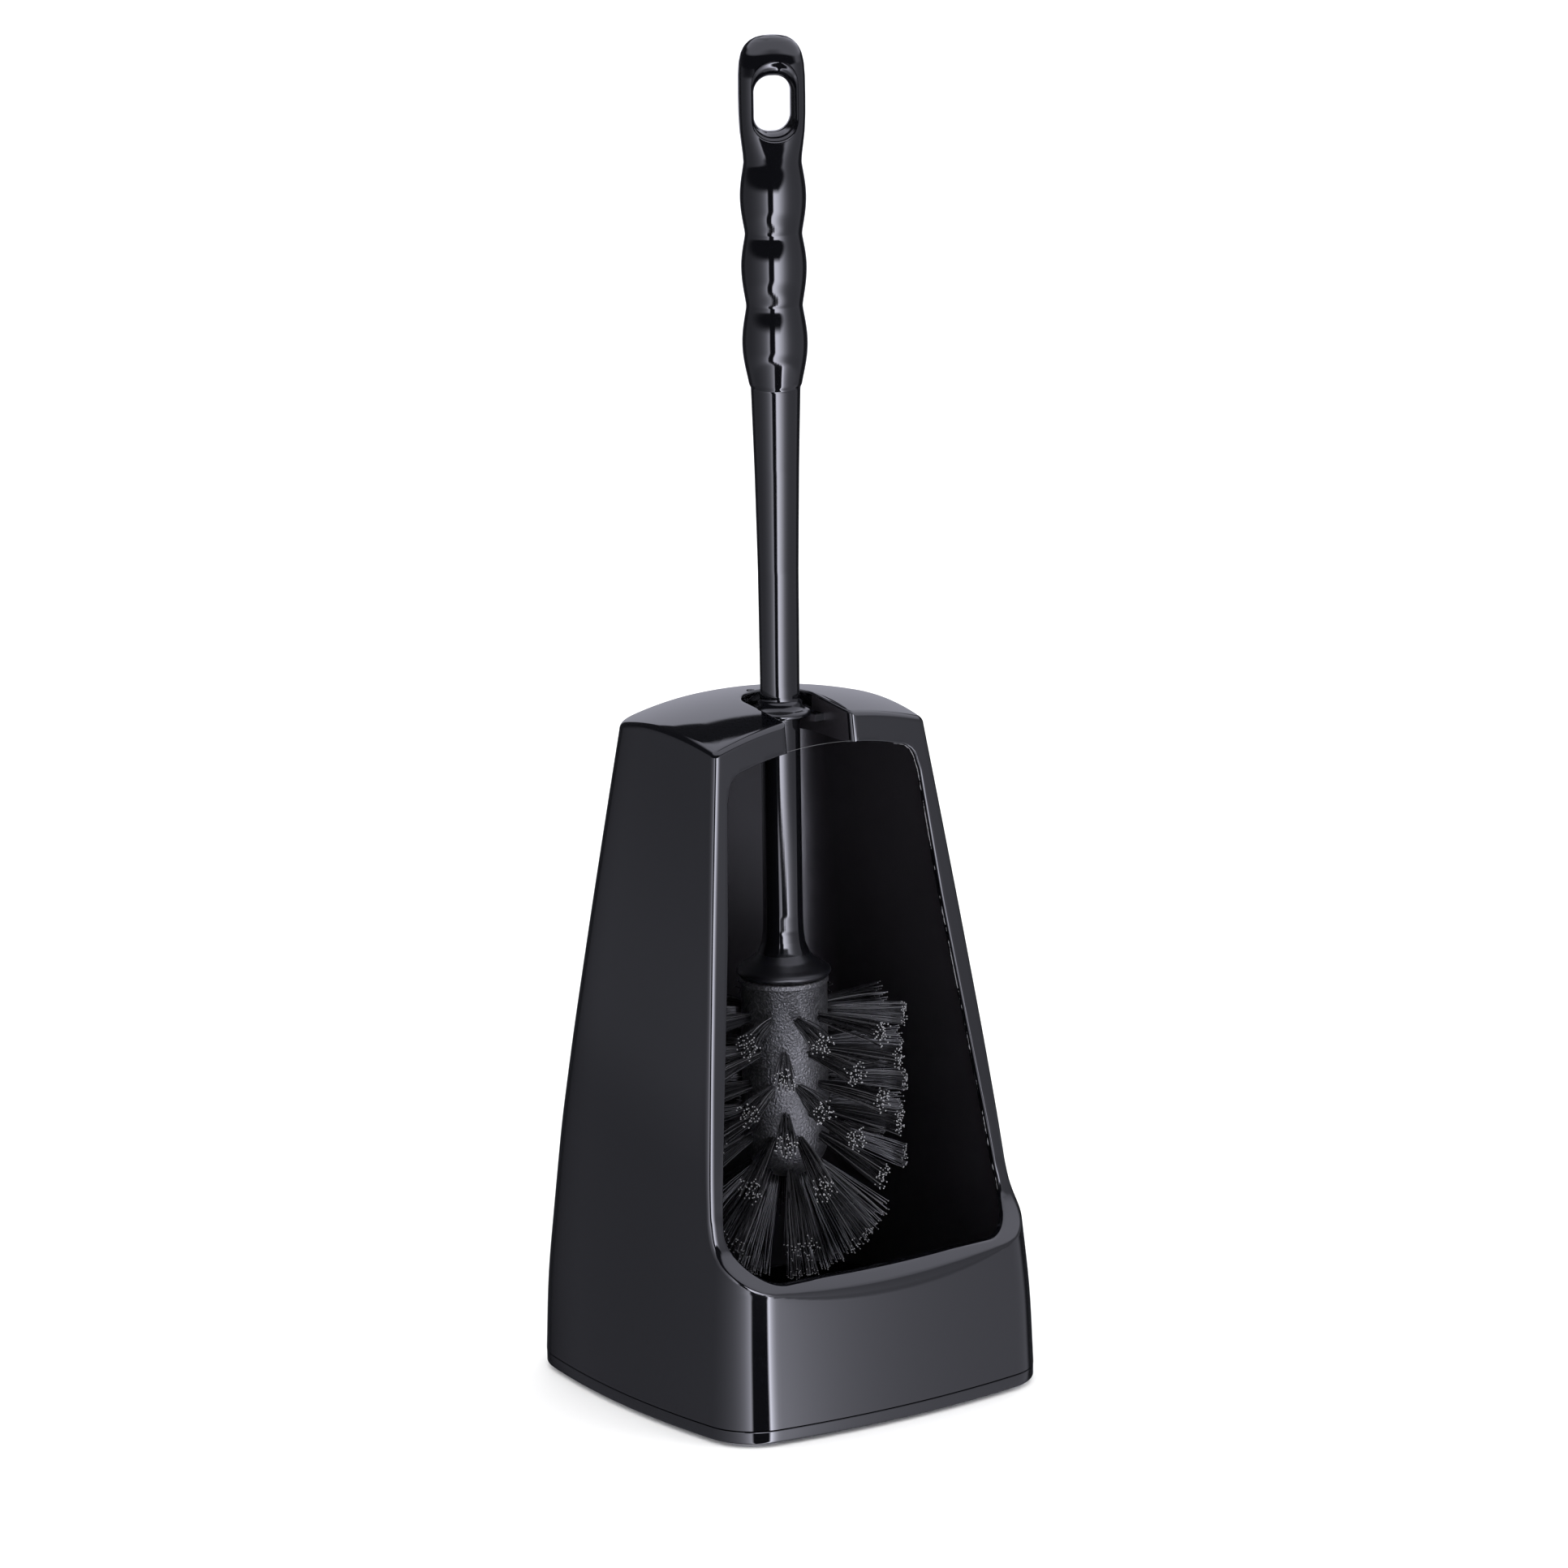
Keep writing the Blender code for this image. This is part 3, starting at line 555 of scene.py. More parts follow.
def build_shell(wall, rim):
    outer = heights(SHELL_BASE, 203.0, 5.0, 36.0, 84.0, 0.8)
    shell = body("housing_shell", outer, 0.0, FRONT_EDGE_R, TOP_EDGE_R)
    hollow = body("hollow", heights(2.0, 202.0, 7.0, 37.0, 80.0, 1.2), wall, INNER_EDGE_R, 0.0)
    boolean(shell, hollow, "DIFFERENCE")
    wall_plan = channel_outline(SLOT_HALF + CHANNEL_WALL, FRONT_TOP_Y - 8.0)
    walls = loft("walls", [level(wall_plan, z) for z in (CHANNEL_BOTTOM, 230.0)])
    boolean(walls, body("trim", (180, 192, 203), 1.1, 1.4, 0.0), "INTERSECT")
    boolean(shell, walls, "UNION")
    cut_window(shell, rim)
    cut_slot(shell, rim)
    shelf = shelf_outline()
    ledge = loft("shelf", [level(shelf, z) for z in (LEDGE_TOP - LEDGE_T, LEDGE_TOP)])
    boolean(shell, ledge, "UNION")
    top = dome(*GATE_SPOT)
    mark = ((1.25, top - 0.7), (1.25, top + 0.1), (1.05, top + 0.3), (0.5, top + 0.4))
    boolean(shell, lathe("gate", mark, 24, GATE_SPOT), "UNION")
    shade(shell)
    return shell


def build_flash(height):
    """Ragged flash that the mould left along the inside edge of the window, as one thin ribbon."""
    rng = random.Random(11)
    outline = [p for p in window_outline() if p[1] > WINDOW_BOTTOM + FLASH_CLEAR]
    start = max(range(len(outline)), key=lambda i: hypot(*(outline[i] - outline[i - 1])))
    outline = np.array(outline[start:] + outline[:start])
    outline = along(outline, 900)
    tall = 0.5
    verts, faces = [], []
    centre = np.array([0.0, 130.0])
    for i, (x, z) in enumerate(outline):
        tall = min(1.0, max(0.05, tall + rng.uniform(-0.28, 0.28)))
        side = outline[min(i + 1, len(outline) - 1)] - outline[max(i - 1, 0)]
        inward = np.array([-side[1], side[0]]) / hypot(*side)
        inward *= 1 if np.dot(inward, centre - (x, z)) > 0 else -1
        y = front_y(z) + FLASH_IN
        bare = fade(FLASH_BARE - abs(x), -3.0, 3.0)
        crest = height / MM * max(0.0, 1.5 * tall - 0.5) * (1 - bare) - 0.1
        for across, deep in ((-0.15, 0.0), (crest, 0.07), (-0.15, 0.22)):
            verts.append((x + inward[0] * across, y + deep, z + inward[1] * across))
    for i in range(len(outline) - 1):
        a, b = 3 * i, 3 * i + 3
        faces += [(a, b, b + 1, a + 1), (a + 1, b + 1, b + 2, a + 2), (a + 2, b + 2, b, a)]
    last = 3 * (len(outline) - 1)
    faces += [(0, 1, 2), (last + 2, last + 1, last)]
    flash = outward(make("window_flash", verts, faces))
    shade(flash, 60)
    return flash


def build_tray(wall):
    plan_z, edge_r, clearance = 8.0, 2.0, 0.45

    def ring(z, inset):
        return level(section(plan_z, inset, edge_r), z)

    spigot = wall + clearance
    rings = [ring(FOOT_H, 1.4), ring(FOOT_H, 1.0)]
    for a in np.linspace(0, pi / 2, 7)[1:]:
        rings.append(ring(FOOT_H + 1.0 - cos(a), 1.0 - sin(a)))
    lip = 0.35
    for a in np.linspace(0, pi / 2, 6):
        rings.append(ring(TRAY_TOP - lip + lip * sin(a), lip - lip * cos(a)))
    rings += [ring(TRAY_TOP, 0.9), ring(TRAY_TOP, spigot - 0.2), ring(TRAY_TOP + 0.15, spigot),
              ring(13.0, spigot + 0.15), ring(13.8, spigot + 0.6)]
    tray = loft("tray_body", rings)
    well = loft("well", [ring(FOOT_H + 2.0, spigot + 5.0), ring(FOOT_H + 2.3, spigot + 3.4),
                         ring(FOOT_H + 3.2, spigot + 2.4), ring(14.5, spigot + 1.9)])
    boolean(tray, well, "DIFFERENCE")
    shade(tray)
    return tray


# ---- handle ----
def turned(x, y, z):
    a = radians(LOOP_TURN)
    return (x * cos(a) - y * sin(a), x * sin(a) + y * cos(a), z)


def squarish(half_x, half_y, power, z):
    ring = []
    for i in range(AROUND):
        a = 2 * pi * i / AROUND
        c, s = cos(a), sin(a)
        scale = (abs(c) ** power + abs(s) ** power) ** (-1 / power)
        ring.append(turned(half_x * c * scale, half_y * s * scale, z))
    return ring


def grip_profile(steps):
    """The finger grip: round swells with tight waists between them."""
    points = []
    for (r0, z0), (r1, z1) in zip(GRIP, GRIP[1:]):
        for k in range(steps):
            t = k / steps
            rising = r1 > r0
            share = sin(pi / 2 * (t if rising else 1 - t)) ** 1.15
            waist, crest = (r0, r1) if rising else (r1, r0)
            points.append((waist + (crest - waist) * share, z0 + (z1 - z0) * t))
    return points + [GRIP[-1]]


def slab_ring(half_x, low, high, radius, depth):
    """A rounded upright rectangle at one depth, for cutting the hanging hole."""
    ring, steps = [], 14
    radius = min(radius, half_x - 0.05)
    for cx, cz, start in ((1, -1, -90), (1, 1, 0), (-1, 1, 90), (-1, -1, 180)):
        mx = cx * (half_x - radius)
        mz = (low + radius) if cz < 0 else (high - radius)
        for a in np.linspace(start, start + 90, steps):
            ring.append(turned(mx + radius * cos(radians(a)), depth, mz + radius * sin(radians(a))))
    return ring


def build_handle():
    profile = [(r, z, r, 2.0) for r, z in SHAFT_PROFILE + tuple(grip_profile(10))]
    profile += [(hx, z, hy, power) for z, hx, hy, power in LOOP_STATIONS]
    bell = [(0.5, CORE_TOP + 0.3, 0.5, 2.0), (10.0, CORE_TOP + 0.3, 10.0, 2.0)]
    line = rounded_line(bell + profile, 0.35, 3)
    handle = loft("handle_body", [squarish(hx, hy, power, z) for hx, z, hy, power in line])
    dish = along(EYE_DISH, 24)
    rings = [slab_ring(half, low, high, r, depth) for depth, half, low, high, r in dish]
    rings += [slab_ring(half, low, high, r, -depth) for depth, half, low, high, r in dish[::-1]]
    boolean(handle, outward(loft("hanging_hole", rings)), "DIFFERENCE")
    shade(handle, 30)
    return handle


def build_core():
    bead = CORE_TOP - 1.6
    profile = [(0.3, CORE_END_Z - CORE_R)]
    for a in np.linspace(-88, 0, 24):
        profile.append((CORE_R * cos(radians(a)), CORE_END_Z + CORE_R * sin(radians(a))))
    profile += [(CORE_R, 100.0), (CORE_R, bead - 0.4), (CORE_R + 0.15, bead - 0.2), (CORE_R + 0.4, bead),
                (CORE_R + 0.4, CORE_TOP - 0.4), (CORE_R + 0.25, CORE_TOP - 0.15), (CORE_R, CORE_TOP)]
    core = lathe("core_body", profile, 128)
    shade(core, 50)
    return core


# ---- bristles ----
def tuft_frame(height, angle, dip):
    """The point where a tuft leaves the core, and the way it points."""
    a, d = radians(angle), radians(dip)
    way = Vector((cos(a) * cos(d), sin(a) * cos(d), -sin(d)))
    r = CORE_R if height >= CORE_END_Z else sqrt(CORE_R ** 2 - (CORE_END_Z - height) ** 2)
    return Vector((cos(a) * r, sin(a) * r, height)), way


def reach(at, way):
    """How far a bristle runs before it meets the trimmed outline of the brush."""
    low, high = 1.0, 80.0
    for _ in range(24):
        run = (low + high) / 2
        p = at + way * run
        if p.z >= BRUSH_END_Z:
            outside = hypot(p.x, p.y) >= BRUSH_R
        else:
            outside = hypot(hypot(p.x, p.y) / BRUSH_R, (p.z - BRUSH_END_Z) / BRUSH_END_H) >= 1.0
        low, high = (low, run) if outside else (run, high)
    return low


def tuft_list():
    """(name, [(point, direction, tip radius)]) of every tuft node."""
    found = []
    for ring, (z, dip) in enumerate(zip(RING_Z, RING_DIP)):
        for k in range(PER_RING):
            angle = 360.0 / PER_RING * (k + 0.5 * (ring % 2)) + RING_TURN
            found.append((f"tuft_{ring + 1}_{k + 1:02d}", [tuft_frame(z, angle, dip) + (SIDE_TIP_R,)]))
    for name, root, dip, count, turn in CROWNS:
        height = CORE_END_Z - sqrt(CORE_R ** 2 - root ** 2)
        rows = [tuft_frame(height, 360.0 / count * k + turn, dip) + (END_TIP_R,) for k in range(count)]
        found.append((name, rows))
    return found


def bristle_path(at, way, root, tip_r, droop, rng, share, angle):
    """Points along one bristle, from inside the core to its cut end."""
    side = way.cross(Vector((0, 0, 1)) if abs(way.z) < 0.9 else Vector((1, 0, 0))).normalized()
    up = way.cross(side).normalized()
    spread = side * cos(angle) + up * sin(angle)
    full = reach(at, way)
    aim = (way * full + spread * (share * (tip_r - root))).normalized()
    start = at + spread * (share * root)
    length = reach(start, aim) + rng.uniform(-1.6, 0.3)
    bow = (side * rng.uniform(-1, 1) + up * rng.uniform(-1, 1)) * rng.uniform(0.2, 0.9)
    sag = droop * (length / 25.0) ** 2 * max(0.15, 1 - abs(way.z))
    points = []
    for t in (-0.06, 0.12, 0.34, 0.56, 0.78, 1.0):
        p = start + aim * (length * t) + bow * (4 * t * (1 - t) if t > 0 else 0)
        p.z -= sag * max(t, 0) ** 2
        points.append(p)
    return points


def add_bristle(verts, faces, ends, painted_glint_shares, points, radius, rng):
    """A five-sided tube whose cut end is slightly mushroomed."""
    sides = 5
    first = len(verts)
    twist = rng.uniform(0, 2 * pi)
    # This filament's share of the painted glint, random and mostly near none.
    tone = rng.random() ** 4
    last = points[-1]
    way = (last - points[-2]).normalized()
    rows = [(p, 1.0) for p in points[:-1]]
    rows += [(last - way * back, swell) for back, swell in CUT_END]
    for k, (p, swell) in enumerate(rows):
        way = (rows[min(k + 1, len(rows) - 1)][0] - rows[max(k - 1, 0)][0]).normalized()
        u = way.cross(Vector((0.3, 0.2, 0.93))).normalized()
        v = way.cross(u)
        for i in range(sides):
            a = twist + 2 * pi * i / sides
            verts.append(tuple(p + (u * cos(a) + v * sin(a)) * radius * swell))
    painted_glint_shares.extend([tone] * (sides * len(rows)))
    for k in range(len(rows) - 1):
        if k > len(rows) - len(CUT_END):
            ends.extend(range(len(faces), len(faces) + sides))
        for i in range(sides):
            j = (i + 1) % sides
            low, high = first + k * sides, first + (k + 1) * sides
            faces.append((low + i, low + j, high + j, high + i))
    top = first + (len(rows) - 1) * sides
    faces.append(tuple(first + i for i in range(sides))[::-1])
    ends.append(len(faces))
    faces.append(tuple(top + i for i in range(sides)))


def build_tuft(name, rows, count, thickness, droop):
    rng = random.Random(name)
    verts, faces, ends, painted_glint_shares = [], [], [], []
    for at, way, tip_r in rows:
        for k in range(count):
            share = sqrt((k + 0.5) / count) * rng.uniform(0.7, 1.12)
            angle = k * GOLDEN + rng.uniform(-0.5, 0.5)
            points = bristle_path(at, way, ROOT_R, tip_r, droop, rng, share, angle)
            add_bristle(verts, faces, ends, painted_glint_shares, points, thickness / 2, rng)
    tuft = make(name + "_bristles", verts, faces)
    # Each filament's share of the painted glint, read by the bristle material.
    tuft.data.attributes.new("tone", "FLOAT", "POINT").data.foreach_set("value", painted_glint_shares)
    tuft.data.shade_smooth()
    return tuft, ends


# ---- materials ----
def add(nodes, kind, **values):
    """A shader node with its settings and unlinked inputs filled in."""
    node = nodes.new(kind)
    for key, value in values.items():
        if hasattr(node, key):
            setattr(node, key, value)
        else:
            node.inputs[key.replace("_", " ")].default_value = value
    return node


def join(source, output, target, into):
    source.id_data.links.new(source.outputs[output], target.inputs[into])


def moulded_group():
    """Fine unevenness of a moulded surface: a soft ripple, dust-sized specks and rubbed patches."""
    name = "Moulded surface"
    if name in bpy.data.node_groups:
        return bpy.data.node_groups[name]
    group = bpy.data.node_groups.new(name, "ShaderNodeTree")
    for label, default in (("Ripple size", 60.0), ("Grain size", 900.0), ("Grain", 0.5),
                           ("Smooth", 0.08), ("Rubbed", 0.16)):
        socket = group.interface.new_socket(label, in_out="INPUT", socket_type="NodeSocketFloat")
        socket.default_value = default
    for label in ("Roughness", "Height"):
        group.interface.new_socket(label, in_out="OUTPUT", socket_type="NodeSocketFloat")
    nodes = group.nodes
    given, out = nodes.new("NodeGroupInput"), nodes.new("NodeGroupOutput")
    place = nodes.new("ShaderNodeTexCoord")
    ripple = add(nodes, "ShaderNodeTexNoise", Detail=2.0)
    grain = add(nodes, "ShaderNodeTexNoise", Detail=3.0)
    patches = add(nodes, "ShaderNodeTexNoise", Scale=28.0, Detail=5.0, Roughness=0.62)
    for texture in (ripple, grain, patches):
        join(place, "Object", texture, "Vector")
    join(given, "Ripple size", ripple, "Scale")
    join(given, "Grain size", grain, "Scale")
    mixed = add(nodes, "ShaderNodeMix", data_type="FLOAT")
    join(given, "Grain", mixed, "Factor")
    join(ripple, "Fac", mixed, "A")
    join(grain, "Fac", mixed, "B")
    join(mixed, "Result", out, "Height")
    spread = add(nodes, "ShaderNodeMapRange", From_Min=0.35, From_Max=0.75)
    join(patches, "Fac", spread, "Value")
    join(given, "Smooth", spread, "To Min")
    join(given, "Rubbed", spread, "To Max")
    join(spread, "Result", out, "Roughness")
    return group


def new_material(name):
    mat = bpy.data.materials.new(name)
    mat.use_nodes = True
    return mat, mat.node_tree.nodes


def plastic(name, colour, bump, specular=0.5, **surface):
    """A moulded plastic: its colour is constant, its roughness and relief vary."""
    mat = bpy.data.materials.get(name)
    if mat:
        return mat
    mat, nodes = new_material(name)
    shader = nodes["Principled BSDF"]
    shader.inputs["Base Color"].default_value = (*colour, 1.0)
    shader.inputs["Specular IOR Level"].default_value = specular
    relief = nodes.new("ShaderNodeGroup")
    relief.node_tree = moulded_group()
    for label, value in surface.items():
        relief.inputs[label.replace("_", " ")].default_value = value
    lift = add(nodes, "ShaderNodeBump", Strength=1.0, Distance=bump)
    join(relief, "Height", lift, "Height")
    join(relief, "Roughness", shader, "Roughness")
    join(lift, "Normal", shader, "Normal")
    return mat


def shell_plastic():
    holder = bpy.context.scene.brush_holder
    return plastic("shell_gloss", holder.plastic, 0.000012, specular=0.57, Ripple_size=70.0,
                   Grain_size=1400.0, Grain=0.08, Smooth=0.03, Rubbed=0.065)


def flash_plastic():
    return plastic("flash_edge", (0.20, 0.20, 0.21), 0.00006, Ripple_size=400.0, Grain_size=2000.0,
                   Grain=0.6, Smooth=0.35, Rubbed=0.6)


def inside_plastic_with_painted_fill():
    # Satin inside of the shell; its paler base colour is partly painted fill light for the hollow.
    holder = bpy.context.scene.brush_holder
    return plastic("shell_inside_painted_fill", holder.inside, 0.00004, Ripple_size=90.0, Grain_size=1500.0, Grain=0.5,
                   Smooth=0.30, Rubbed=0.42)


def handle_plastic():
    """The handle's gloss, satin from the bell's neck down."""
    holder = bpy.context.scene.brush_holder
    mat = plastic("handle_gloss", holder.plastic, 0.00001, Ripple_size=90.0, Grain_size=1600.0, Grain=0.15,
                  Smooth=0.04, Rubbed=0.09)
    nodes, links = mat.node_tree.nodes, mat.node_tree.links
    shader = nodes["Principled BSDF"]
    gloss = shader.inputs["Roughness"].links[0].from_socket
    place = nodes.new("ShaderNodeTexCoord")
    split = nodes.new("ShaderNodeSeparateXYZ")
    satin = add(nodes, "ShaderNodeMapRange", From_Min=SATIN_TOP - 2 * MM, From_Max=SATIN_TOP,
                To_Min=1.0, To_Max=0.0)
    choose = add(nodes, "ShaderNodeMix", data_type="FLOAT", B=SATIN)
    join(place, "Object", split, "Vector")
    join(split, "Z", satin, "Value")
    join(satin, "Result", choose, "Factor")
    links.new(gloss, choose.inputs["A"])
    join(choose, "Result", shader, "Roughness")
    return mat


def core_plastic():
    """Sand-blasted black plastic: a lumpy grain whose tops get a paler base colour, painted glints of the
    grain.
    """
    mat = plastic("core_sand", (0.012, 0.012, 0.0135), 0.0005, specular=0.8, Ripple_size=500.0,
                  Grain_size=1500.0, Grain=0.85, Smooth=0.30, Rubbed=0.42)
    nodes, links = mat.node_tree.nodes, mat.node_tree.links
    height = next(node for node in nodes if node.type == "GROUP").outputs["Height"]
    # The grain's tops take a paler base colour: painted glints.
    painted_glint_tops = add(nodes, "ShaderNodeMapRange", From_Min=0.50, From_Max=0.64)
    links.new(height, painted_glint_tops.inputs["Value"])
    return tinted(mat, painted_glint_tops.outputs["Result"], (0.06, 0.06, 0.064))


def pad_rubber():
    return plastic("pad_rubber", (0.2, 0.2, 0.21), 0.00008, Ripple_size=300.0, Grain_size=1800.0, Grain=0.6,
                   Smooth=0.6, Rubbed=0.85)


def tinted(mat, factor, pale):
    """Lets a varying value take the base colour towards a paler one."""
    nodes, links = mat.node_tree.nodes, mat.node_tree.links
    base = nodes["Principled BSDF"].inputs["Base Color"]
    tint = add(nodes, "ShaderNodeMix", data_type="RGBA")
    for socket, colour in ((tint.inputs[6], tuple(base.default_value)), (tint.inputs[7], (*pale, 1.0))):
        socket.default_value = colour
    links.new(factor, tint.inputs["Factor"])
    links.new(tint.outputs[2], base)
    return mat


def bristle_nylon():
    """Black nylon with painted glints: single filaments, picked at random, get a paler base colour that
    stands in for light they catch.
    """
    brush = bpy.context.scene.brush_head
    if "bristle_nylon" in bpy.data.materials:
        return bpy.data.materials["bristle_nylon"]
    mat = plastic("bristle_nylon", brush.bristle, 0.00002, specular=0.6, Ripple_size=600.0,
                  Grain_size=2500.0, Grain=0.5, Smooth=0.18, Rubbed=0.30)
    # The painted glint share takes a filament's base colour towards the glint colour.
    tone = add(mat.node_tree.nodes, "ShaderNodeAttribute", attribute_name="tone")
    return tinted(mat, tone.outputs["Fac"], brush.painted_glint)


def bristle_ends():
    brush = bpy.context.scene.brush_head
    return plastic("bristle_end", brush.cut_end, 0.00002, Ripple_size=900.0, Grain_size=2500.0,
                   Grain=0.5, Smooth=0.4, Rubbed=0.6)


# ---- light tent: turns and rises in degrees ----
TENT_Z = 0.2  # height of its centre, in metres
TENT_TINT = (0.97, 0.975, 1.13, 1.0)
CLOTH_GLOW = 0.04  # brightness of its unlit cloth
LOW_PANELS = (-14.0, -19.0)  # rises where the upper panels give way to the lower
GAP_TURN = 43.0  # the dark gap between the right and the left panels
GAP_DRIFT = 8.0  # how far it turns to the left
GAP_DRIFT_RISES = (-4.0, -12.0)
GAP_HALF = 12.0
GAP_LOW_TURN = 23.0  # the same gap between the lower panels
GAP_LOW_HALF = 18.0
GAP_EDGE = 5.0
RIGHT_END = (-93.0, -78.0)  # turns where the right panels fade in
LEFT_END = (168.0, 150.0)  # and where the left panels fade out
LID = 17.0  # rise of the panels' upper edge
LID_EDGE = 3.0
WEDGE_MOST = 16.0  # how much higher it gets towards the right
BACK_START = (-118.0, -132.0)
BACK_END = (-169.0, -164.0)
BACK_EDGE = 34.5
CEILING = (42.0, 54.0)
BACK_CEILING = (47.0, 49.0)


def tent_glow(turn, rise):
    """Brightness of the tent, by direction: turn from the front towards the left, and rise."""
    turn = (turn + 180.0) % 360.0 - 180.0
    low = fade(rise, *LOW_PANELS)
    gap = (GAP_TURN + GAP_DRIFT * fade(rise, *GAP_DRIFT_RISES)) * (1 - low) + GAP_LOW_TURN * low
    half = GAP_HALF * (1 - low) + GAP_LOW_HALF * low
    away = max(0.0, gap - half - turn)
    upper_right = 10.5 * exp(-(away / 27.0) ** 2) + 1.7 * exp(-away / 75.0)
    lower_right = 11.5 * exp(-away / 8.0) + 1.3 * exp(-away / 25.0) + 0.9 * exp(-away / 150.0)
    right = upper_right * (1 - low) + lower_right * low
    right *= fade(turn, gap - half + GAP_EDGE, gap - half) * fade(turn, *RIGHT_END)
    past = max(0.0, turn - gap - half)
    left = 3.1 * exp(-past / 9.0) + (1.7 + 0.3 * low) * exp(-past / 43.0)
    left *= fade(turn, gap + half - GAP_EDGE, gap + half) * fade(turn, *LEFT_END)
    wedge = min(WEDGE_MOST, 0.3 * max(0.0, 16.0 - turn))
    lid = LID + wedge
    panels = (right + left) * fade(rise, lid + LID_EDGE, lid - LID_EDGE)
    back = fade(turn, *BACK_START)
    edge = BACK_EDGE - 1.5 * max(0.0, -157.0 - turn)
    wall = (0.28 + 0.02 * max(0.0, rise + 10.0)) * fade(rise, edge + 1.0, edge - 1.0)
    wall *= fade(turn, *BACK_END)
    start, end = CEILING
    ceiling = 1.7 * fade(rise, start - wedge, end - wedge) * (1 - back)
    ceiling += 1.4 * fade(rise, *BACK_CEILING) * back
    return CLOTH_GLOW + panels + wall * back + ceiling


def build_tent(radius):
    """An emitting sphere that only reflections see, brighter where its soft panels are."""
    turns, rises = 720, 180
    verts, faces, glow = [], [], []
    for i in range(rises + 1):
        rise = -90.0 + 180.0 * i / rises
        for k in range(turns):
            turn = 360.0 * k / turns
            flat = cos(radians(rise)) * radius
            verts.append((-sin(radians(turn)) * flat, -cos(radians(turn)) * flat,
                          TENT_Z + sin(radians(rise)) * radius))
            glow.append(tent_glow(turn, rise))
    for i in range(rises):
        for k in range(turns):
            j = (k + 1) % turns
            faces.append((i * turns + k, i * turns + j, (i + 1) * turns + j, (i + 1) * turns + k))
    mesh = bpy.data.meshes.new("light_tent")
    mesh.from_pydata(verts, [], faces)
    mesh.attributes.new("glow", "FLOAT", "POINT").data.foreach_set("value", glow)
    mesh.update()
    tent = new_object("light_tent", mesh)
    mat, nodes = new_material("tent_light")
    mat.cycles.emission_sampling = "NONE"
    nodes.clear()
    out = nodes.new("ShaderNodeOutputMaterial")
    glow_at = add(nodes, "ShaderNodeAttribute", attribute_name="glow")
    light = add(nodes, "ShaderNodeEmission", Color=TENT_TINT)
    join(glow_at, "Fac", light, "Strength")
    join(light, "Emission", out, "Surface")
    mesh.materials.append(mat)
    for ray in ("camera", "diffuse", "transmission", "volume_scatter", "shadow"):
        setattr(tent, "visible_" + ray, False)


def build_floor():
    mesh = bpy.data.meshes.new("floor")
    size = 12.0
    corners = [(-size, -size, 0), (size, -size, 0), (size, size, 0), (-size, size, 0)]
    mesh.from_pydata(corners, [], [(0, 1, 2, 3)])
    floor = new_object("floor", mesh)
    mat, nodes = new_material("floor_white")
    shader = nodes["Principled BSDF"]
    shader.inputs["Base Color"].default_value = (0.9, 0.9, 0.9, 1.0)
    shader.inputs["Roughness"].default_value = 0.9
    mesh.materials.append(mat)
    floor.visible_glossy = False


def build_world(strength):
    world = bpy.data.worlds.new("studio")
    bpy.context.scene.world = world
    world.use_nodes = True
    nodes, links = world.node_tree.nodes, world.node_tree.links
    nodes.clear()
    out = nodes.new("ShaderNodeOutputWorld")
    seen = add(nodes, "ShaderNodeBackground", Color=(1, 1, 1, 1), Strength=1.0)
    light = add(nodes, "ShaderNodeBackground", Color=(1, 1, 1, 1), Strength=strength)
    pick = nodes.new("ShaderNodeMixShader")
    path = nodes.new("ShaderNodeLightPath")
    links.new(path.outputs["Is Camera Ray"], pick.inputs["Fac"])
    links.new(light.outputs[0], pick.inputs[1])
    links.new(seen.outputs[0], pick.inputs[2])
    links.new(pick.outputs[0], out.inputs["Surface"])


def aim(obj, target):
    obj.rotation_euler = (Vector(target) - obj.location).to_track_quat("-Z", "Y").to_euler()


def add_softbox(name, place, size, power):
    data = bpy.data.lights.new(name, "AREA")
    data.shape = "RECTANGLE"
    data.size, data.size_y = size
    data.energy = power
    lamp = new_object(name, data)
    lamp.location = place
    aim(lamp, (0, 0, 0.1))
    lamp.visible_glossy = False
    lamp.visible_camera = False


CAMERA_ROLL = radians(-0.8)
CAMERA_SHIFT = (0.0018, 0.00045)
CAMERA_AIM = (0, 0, 0.19)


def build_camera(turn, rise, distance, lens):
    data = bpy.data.cameras.new("camera")
    data.sensor_width = 36.0
    data.lens = lens
    data.clip_end = 60.0
    data.shift_x, data.shift_y = CAMERA_SHIFT
    camera = new_object("camera", data)
    forward = Vector((-sin(turn) * cos(rise), cos(turn) * cos(rise), -sin(rise)))
    right = forward.cross(Vector((0, 0, 1))).normalized()
    up = right.cross(forward)
    across = right * cos(CAMERA_ROLL) + up * sin(CAMERA_ROLL)
    upward = up * cos(CAMERA_ROLL) - right * sin(CAMERA_ROLL)
    camera.matrix_world = Matrix((across, upward, -forward)).transposed().to_4x4()
    camera.location = Vector(CAMERA_AIM) - forward * distance
    bpy.context.scene.camera = camera


# ---- operators ----
class HOLDER_OT_shell(bpy.types.Operator):
    """Builds the shell and the flash along its window"""
    bl_idname = "holder.shell"
    bl_label = "Shell"

    def execute(self, context):
        settings = context.scene.brush_holder
        shell = build_shell(settings.wall / MM, settings.rim / MM)
        mark_inside(shell, settings.wall / MM)
        finish_piece(shell, [shell_plastic(), inside_plastic_with_painted_fill()], "holder", "shell", "housing")
        flash = build_flash(settings.flash)
        finish_piece(flash, [flash_plastic()], "holder", "shell")
        return {"FINISHED"}


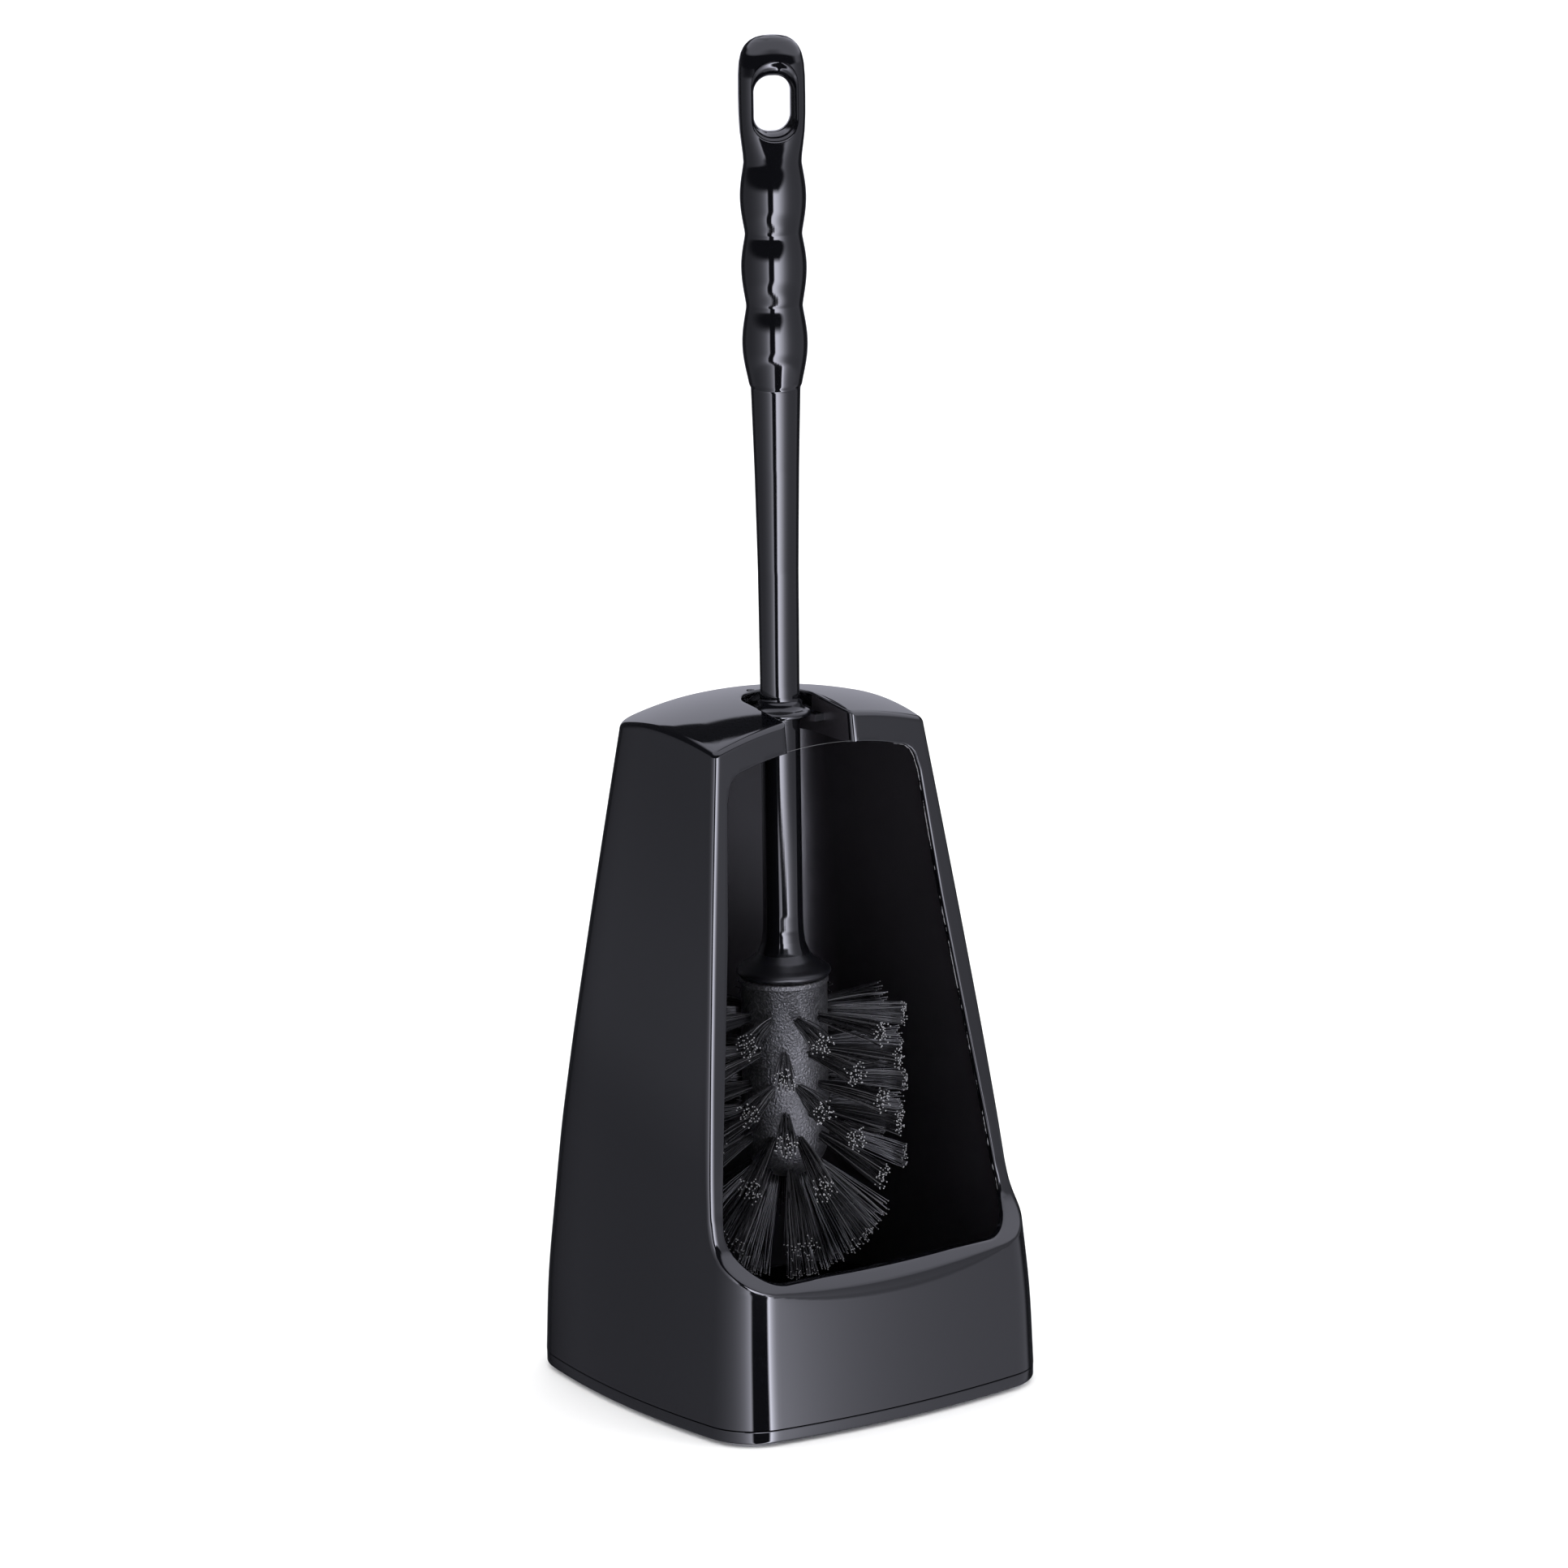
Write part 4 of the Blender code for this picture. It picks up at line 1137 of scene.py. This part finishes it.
class HOLDER_OT_tray(bpy.types.Operator):
    """Builds the drip tray and gives its pads their rubber"""
    bl_idname = "holder.tray"
    bl_label = "Tray and pads"

    def execute(self, context):
        tray = build_tray(context.scene.brush_holder.wall / MM)
        finish_piece(tray, [shell_plastic()], "base", "tray", "base_tray")
        for name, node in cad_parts.items():
            if name.startswith("foot_"):
                node.data.materials.clear()
                node.data.materials.append(pad_rubber())
        return {"FINISHED"}


class HOLDER_OT_handle(bpy.types.Operator):
    """Builds the handle from its bell to its hanging loop"""
    bl_idname = "holder.handle"
    bl_label = "Handle"

    def execute(self, context):
        finish_piece(build_handle(), [handle_plastic()], "brush_handle", "handle", "handle")
        return {"FINISHED"}


class HOLDER_OT_core(bpy.types.Operator):
    """Builds the sand-textured core of the brush"""
    bl_idname = "holder.core"
    bl_label = "Core"

    def execute(self, context):
        finish_piece(build_core(), [core_plastic()], "brush_end", "core", "brush_head")
        return {"FINISHED"}


class HOLDER_OT_bristles(bpy.types.Operator):
    """Builds every tuft as a bundle of cut bristles"""
    bl_idname = "holder.bristles"
    bl_label = "Bristles"

    def execute(self, context):
        brush = context.scene.brush_head
        for name, rows in tuft_list():
            tuft, ends = build_tuft(name, rows, brush.filaments, brush.thickness / MM, brush.droop / MM)
            finish_piece(tuft, [bristle_nylon(), bristle_ends()], "brush_end", "bristles", name)
            for index in ends:
                tuft.data.polygons[index].material_index = 1
        return {"FINISHED"}


class HOLDER_OT_stage(bpy.types.Operator):
    """Sets the floor, the lights and the camera"""
    bl_idname = "holder.stage"
    bl_label = "Studio"

    def execute(self, context):
        studio = context.scene.brush_studio
        build_camera(studio.camera_turn, studio.camera_rise, studio.camera_distance, studio.lens)
        build_floor()
        build_tent(studio.tent_radius)
        build_world(studio.ambient)
        context.scene.view_settings.view_transform = "Standard"
        add_softbox("key", (1.1, -1.5, 1.2), (1.0, 1.0), 9.0)
        return {"FINISHED"}


OPERATORS = (HOLDER_OT_stage, HOLDER_OT_shell, HOLDER_OT_tray, HOLDER_OT_handle, HOLDER_OT_core,
             HOLDER_OT_bristles)


class HOLDER_PT_panel(bpy.types.Panel):
    """Lists the settings and the steps"""
    bl_idname = "HOLDER_PT_panel"
    bl_label = "Brush Holder"
    bl_space_type = "VIEW_3D"
    bl_region_type = "UI"
    bl_category = "Brush Holder"

    def draw(self, context):
        for name in ("brush_holder", "brush_head", "brush_studio"):
            settings = getattr(context.scene, name)
            box = self.layout.box()
            for prop in settings.bl_rna.properties:
                if prop.identifier not in ("rna_type", "name"):
                    box.prop(settings, prop.identifier)
        for operator in OPERATORS:
            self.layout.operator(operator.bl_idname)


CLASSES = (HolderSettings, BrushSettings, StudioSettings) + OPERATORS + (HOLDER_PT_panel,)


def register():
    for cls in CLASSES:
        bpy.utils.register_class(cls)
    bpy.types.Scene.brush_holder = PointerProperty(type=HolderSettings)
    bpy.types.Scene.brush_head = PointerProperty(type=BrushSettings)
    bpy.types.Scene.brush_studio = PointerProperty(type=StudioSettings)


def unregister():
    for name in ("brush_holder", "brush_head", "brush_studio"):
        delattr(bpy.types.Scene, name)
    for cls in reversed(CLASSES):
        bpy.utils.unregister_class(cls)


def main():
    register()
    bpy.ops.holder.stage()
    bpy.ops.holder.shell()
    bpy.ops.holder.tray()
    bpy.ops.holder.handle()
    bpy.ops.holder.core()
    bpy.ops.holder.bristles()


if __name__ == "__main__":
    main()
